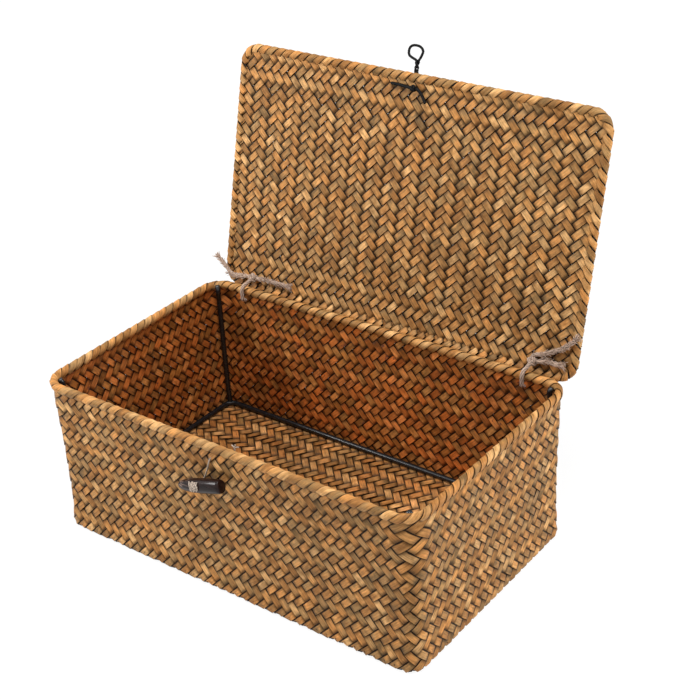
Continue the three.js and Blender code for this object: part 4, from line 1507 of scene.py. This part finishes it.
class BOX_OT_stage(bpy.types.Operator):
    """Sets the camera, the lamps, the pale floor and the white surround"""

    bl_idname = "woven_box.stage"
    bl_label = "Set the stage"

    def execute(self, context):
        scene = context.scene
        scene.view_settings.view_transform = "Standard"
        self.camera(scene)
        self.floor(scene)
        self.lamps(scene)
        self.surround(scene)
        return {"FINISHED"}

    def camera(self, scene):
        lens = bpy.data.cameras.new("photo_camera")
        lens.sensor_width = SENSOR
        lens.lens = CAMERA_LENS
        lens.clip_start = 0.01
        camera = bpy.data.objects.new("photo_camera", lens)
        scene.collection.objects.link(camera)
        a, e, r = (math.radians(v) for v in (CAMERA_AZIMUTH, CAMERA_ELEVATION, CAMERA_ROLL))
        back = Vector((math.sin(a) * math.cos(e), -math.cos(a) * math.cos(e), math.sin(e)))
        level = Vector((math.cos(a), math.sin(a), 0))
        up = back.cross(level)
        right = level * math.cos(r) + up * math.sin(r)
        above = up * math.cos(r) - level * math.sin(r)
        turn = Matrix((right, above, back)).transposed().to_4x4()
        camera.matrix_world = Matrix.Translation(CAMERA_PLACE * MM) @ turn
        scene.camera = camera

    def floor(self, scene):
        """A pale floor that takes a soft shadow and whitens with distance."""
        data = bpy.data.meshes.new("pale_floor")
        bm = bmesh.new()
        bmesh.ops.create_grid(bm, x_segments=1, y_segments=1, size=FLOOR_REACH)
        bm.to_mesh(data)
        bm.free()
        floor = bpy.data.objects.new("pale_floor", data)
        scene.collection.objects.link(floor)
        material, graph, shader = start_material("pale_floor", 0.9, 0.0)
        graph.feed(shader, {"Base Color": (0.9, 0.9, 0.9, 1)})
        away = graph.node("ShaderNodeVectorMath", {0: graph.object_place()}, operation="LENGTH")
        whiter = graph.remap(away.outputs["Value"], *FLOOR_WHITENING)
        glow = graph.node("ShaderNodeEmission", {"Strength": whiter})
        mix = graph.node("ShaderNodeMixShader", {
            "Fac": graph.math("MULTIPLY", seen_rays(graph), FLOOR_GLOW_SHARE),
            1: shader.outputs[0],
            2: glow.outputs[0],
        })
        graph.feed(graph.tree.nodes["Material Output"], {"Surface": mix.outputs[0]})
        data.materials.append(material)

    def lamps(self, scene):
        settings = scene.box_stage
        lamps = [
            ("key_lamp", (-0.65, -0.46, 0.56), 0.35, settings.key_power),
            ("fill_lamp", (1.2, 0.7, 0.4), 0.6, settings.fill_power),
            ("top_lamp", (0.4, -0.3, 1.8), 1.0, settings.top_power),
        ]
        for name, place, size, power in lamps:
            lamp = bpy.data.lights.new(name, "AREA")
            lamp.shape = "DISK"
            lamp.size = size
            lamp.energy = power
            holder = bpy.data.objects.new(name, lamp)
            scene.collection.objects.link(holder)
            holder.location = place
            holder.rotation_euler = (LAMP_AIM - Vector(place)).to_track_quat("-Z", "Y").to_euler()

    def surround(self, scene):
        """Plain light from all sides that the camera and shiny surfaces see as white."""
        world = bpy.data.worlds.new("white_surround")
        scene.world = world
        world.use_nodes = True
        graph = Graph(world.node_tree)
        background = graph.tree.nodes["Background"]
        graph.feed(background, {"Color": WHITE, "Strength": scene.box_stage.sky})
        seen = graph.node("ShaderNodeBackground", {"Color": WHITE, "Strength": 1.0})
        mix = graph.node("ShaderNodeMixShader", {
            "Fac": seen_rays(graph), 1: background.outputs[0], 2: seen.outputs[0],
        })
        graph.feed(graph.tree.nodes["World Output"], {"Surface": mix.outputs[0]})


class BOX_PT_pieces(bpy.types.Panel):
    """Lists the box's pieces and settings"""

    bl_idname = "BOX_PT_pieces"
    bl_label = "Woven box"
    bl_space_type = "VIEW_3D"
    bl_region_type = "UI"
    bl_category = "Woven box"

    def draw(self, context):
        layout = self.layout
        for operator in OPERATORS:
            layout.operator(operator.bl_idname)
        for settings in (context.scene.box_plait, context.scene.box_finish, context.scene.box_stage):
            for name in settings.bl_rna.properties.keys():
                if name not in ("rna_type", "name"):
                    layout.prop(settings, name)


SETTINGS = (PlaitSettings, FinishSettings, StageSettings)
OPERATORS = (
    BOX_OT_stage, BOX_OT_ties, BOX_OT_closing_loop, BOX_OT_toggle, BOX_OT_walls, BOX_OT_floor, BOX_OT_lid,
    BOX_OT_borders, BOX_OT_wires,
)
CLASSES = (*SETTINGS, *OPERATORS, BOX_PT_pieces)


def register():
    for item in CLASSES:
        bpy.utils.register_class(item)
    bpy.types.Scene.box_plait = PointerProperty(type=PlaitSettings)
    bpy.types.Scene.box_finish = PointerProperty(type=FinishSettings)
    bpy.types.Scene.box_stage = PointerProperty(type=StageSettings)


def unregister():
    del bpy.types.Scene.box_stage
    del bpy.types.Scene.box_finish
    del bpy.types.Scene.box_plait
    for item in reversed(CLASSES):
        bpy.utils.unregister_class(item)


def main():
    register()
    bpy.ops.woven_box.stage()
    bpy.ops.woven_box.ties()
    bpy.ops.woven_box.closing_loop()
    bpy.ops.woven_box.toggle()
    bpy.ops.woven_box.walls()
    bpy.ops.woven_box.floor()
    bpy.ops.woven_box.lid()
    bpy.ops.woven_box.borders()
    bpy.ops.woven_box.wires()


if __name__ == "__main__":
    main()
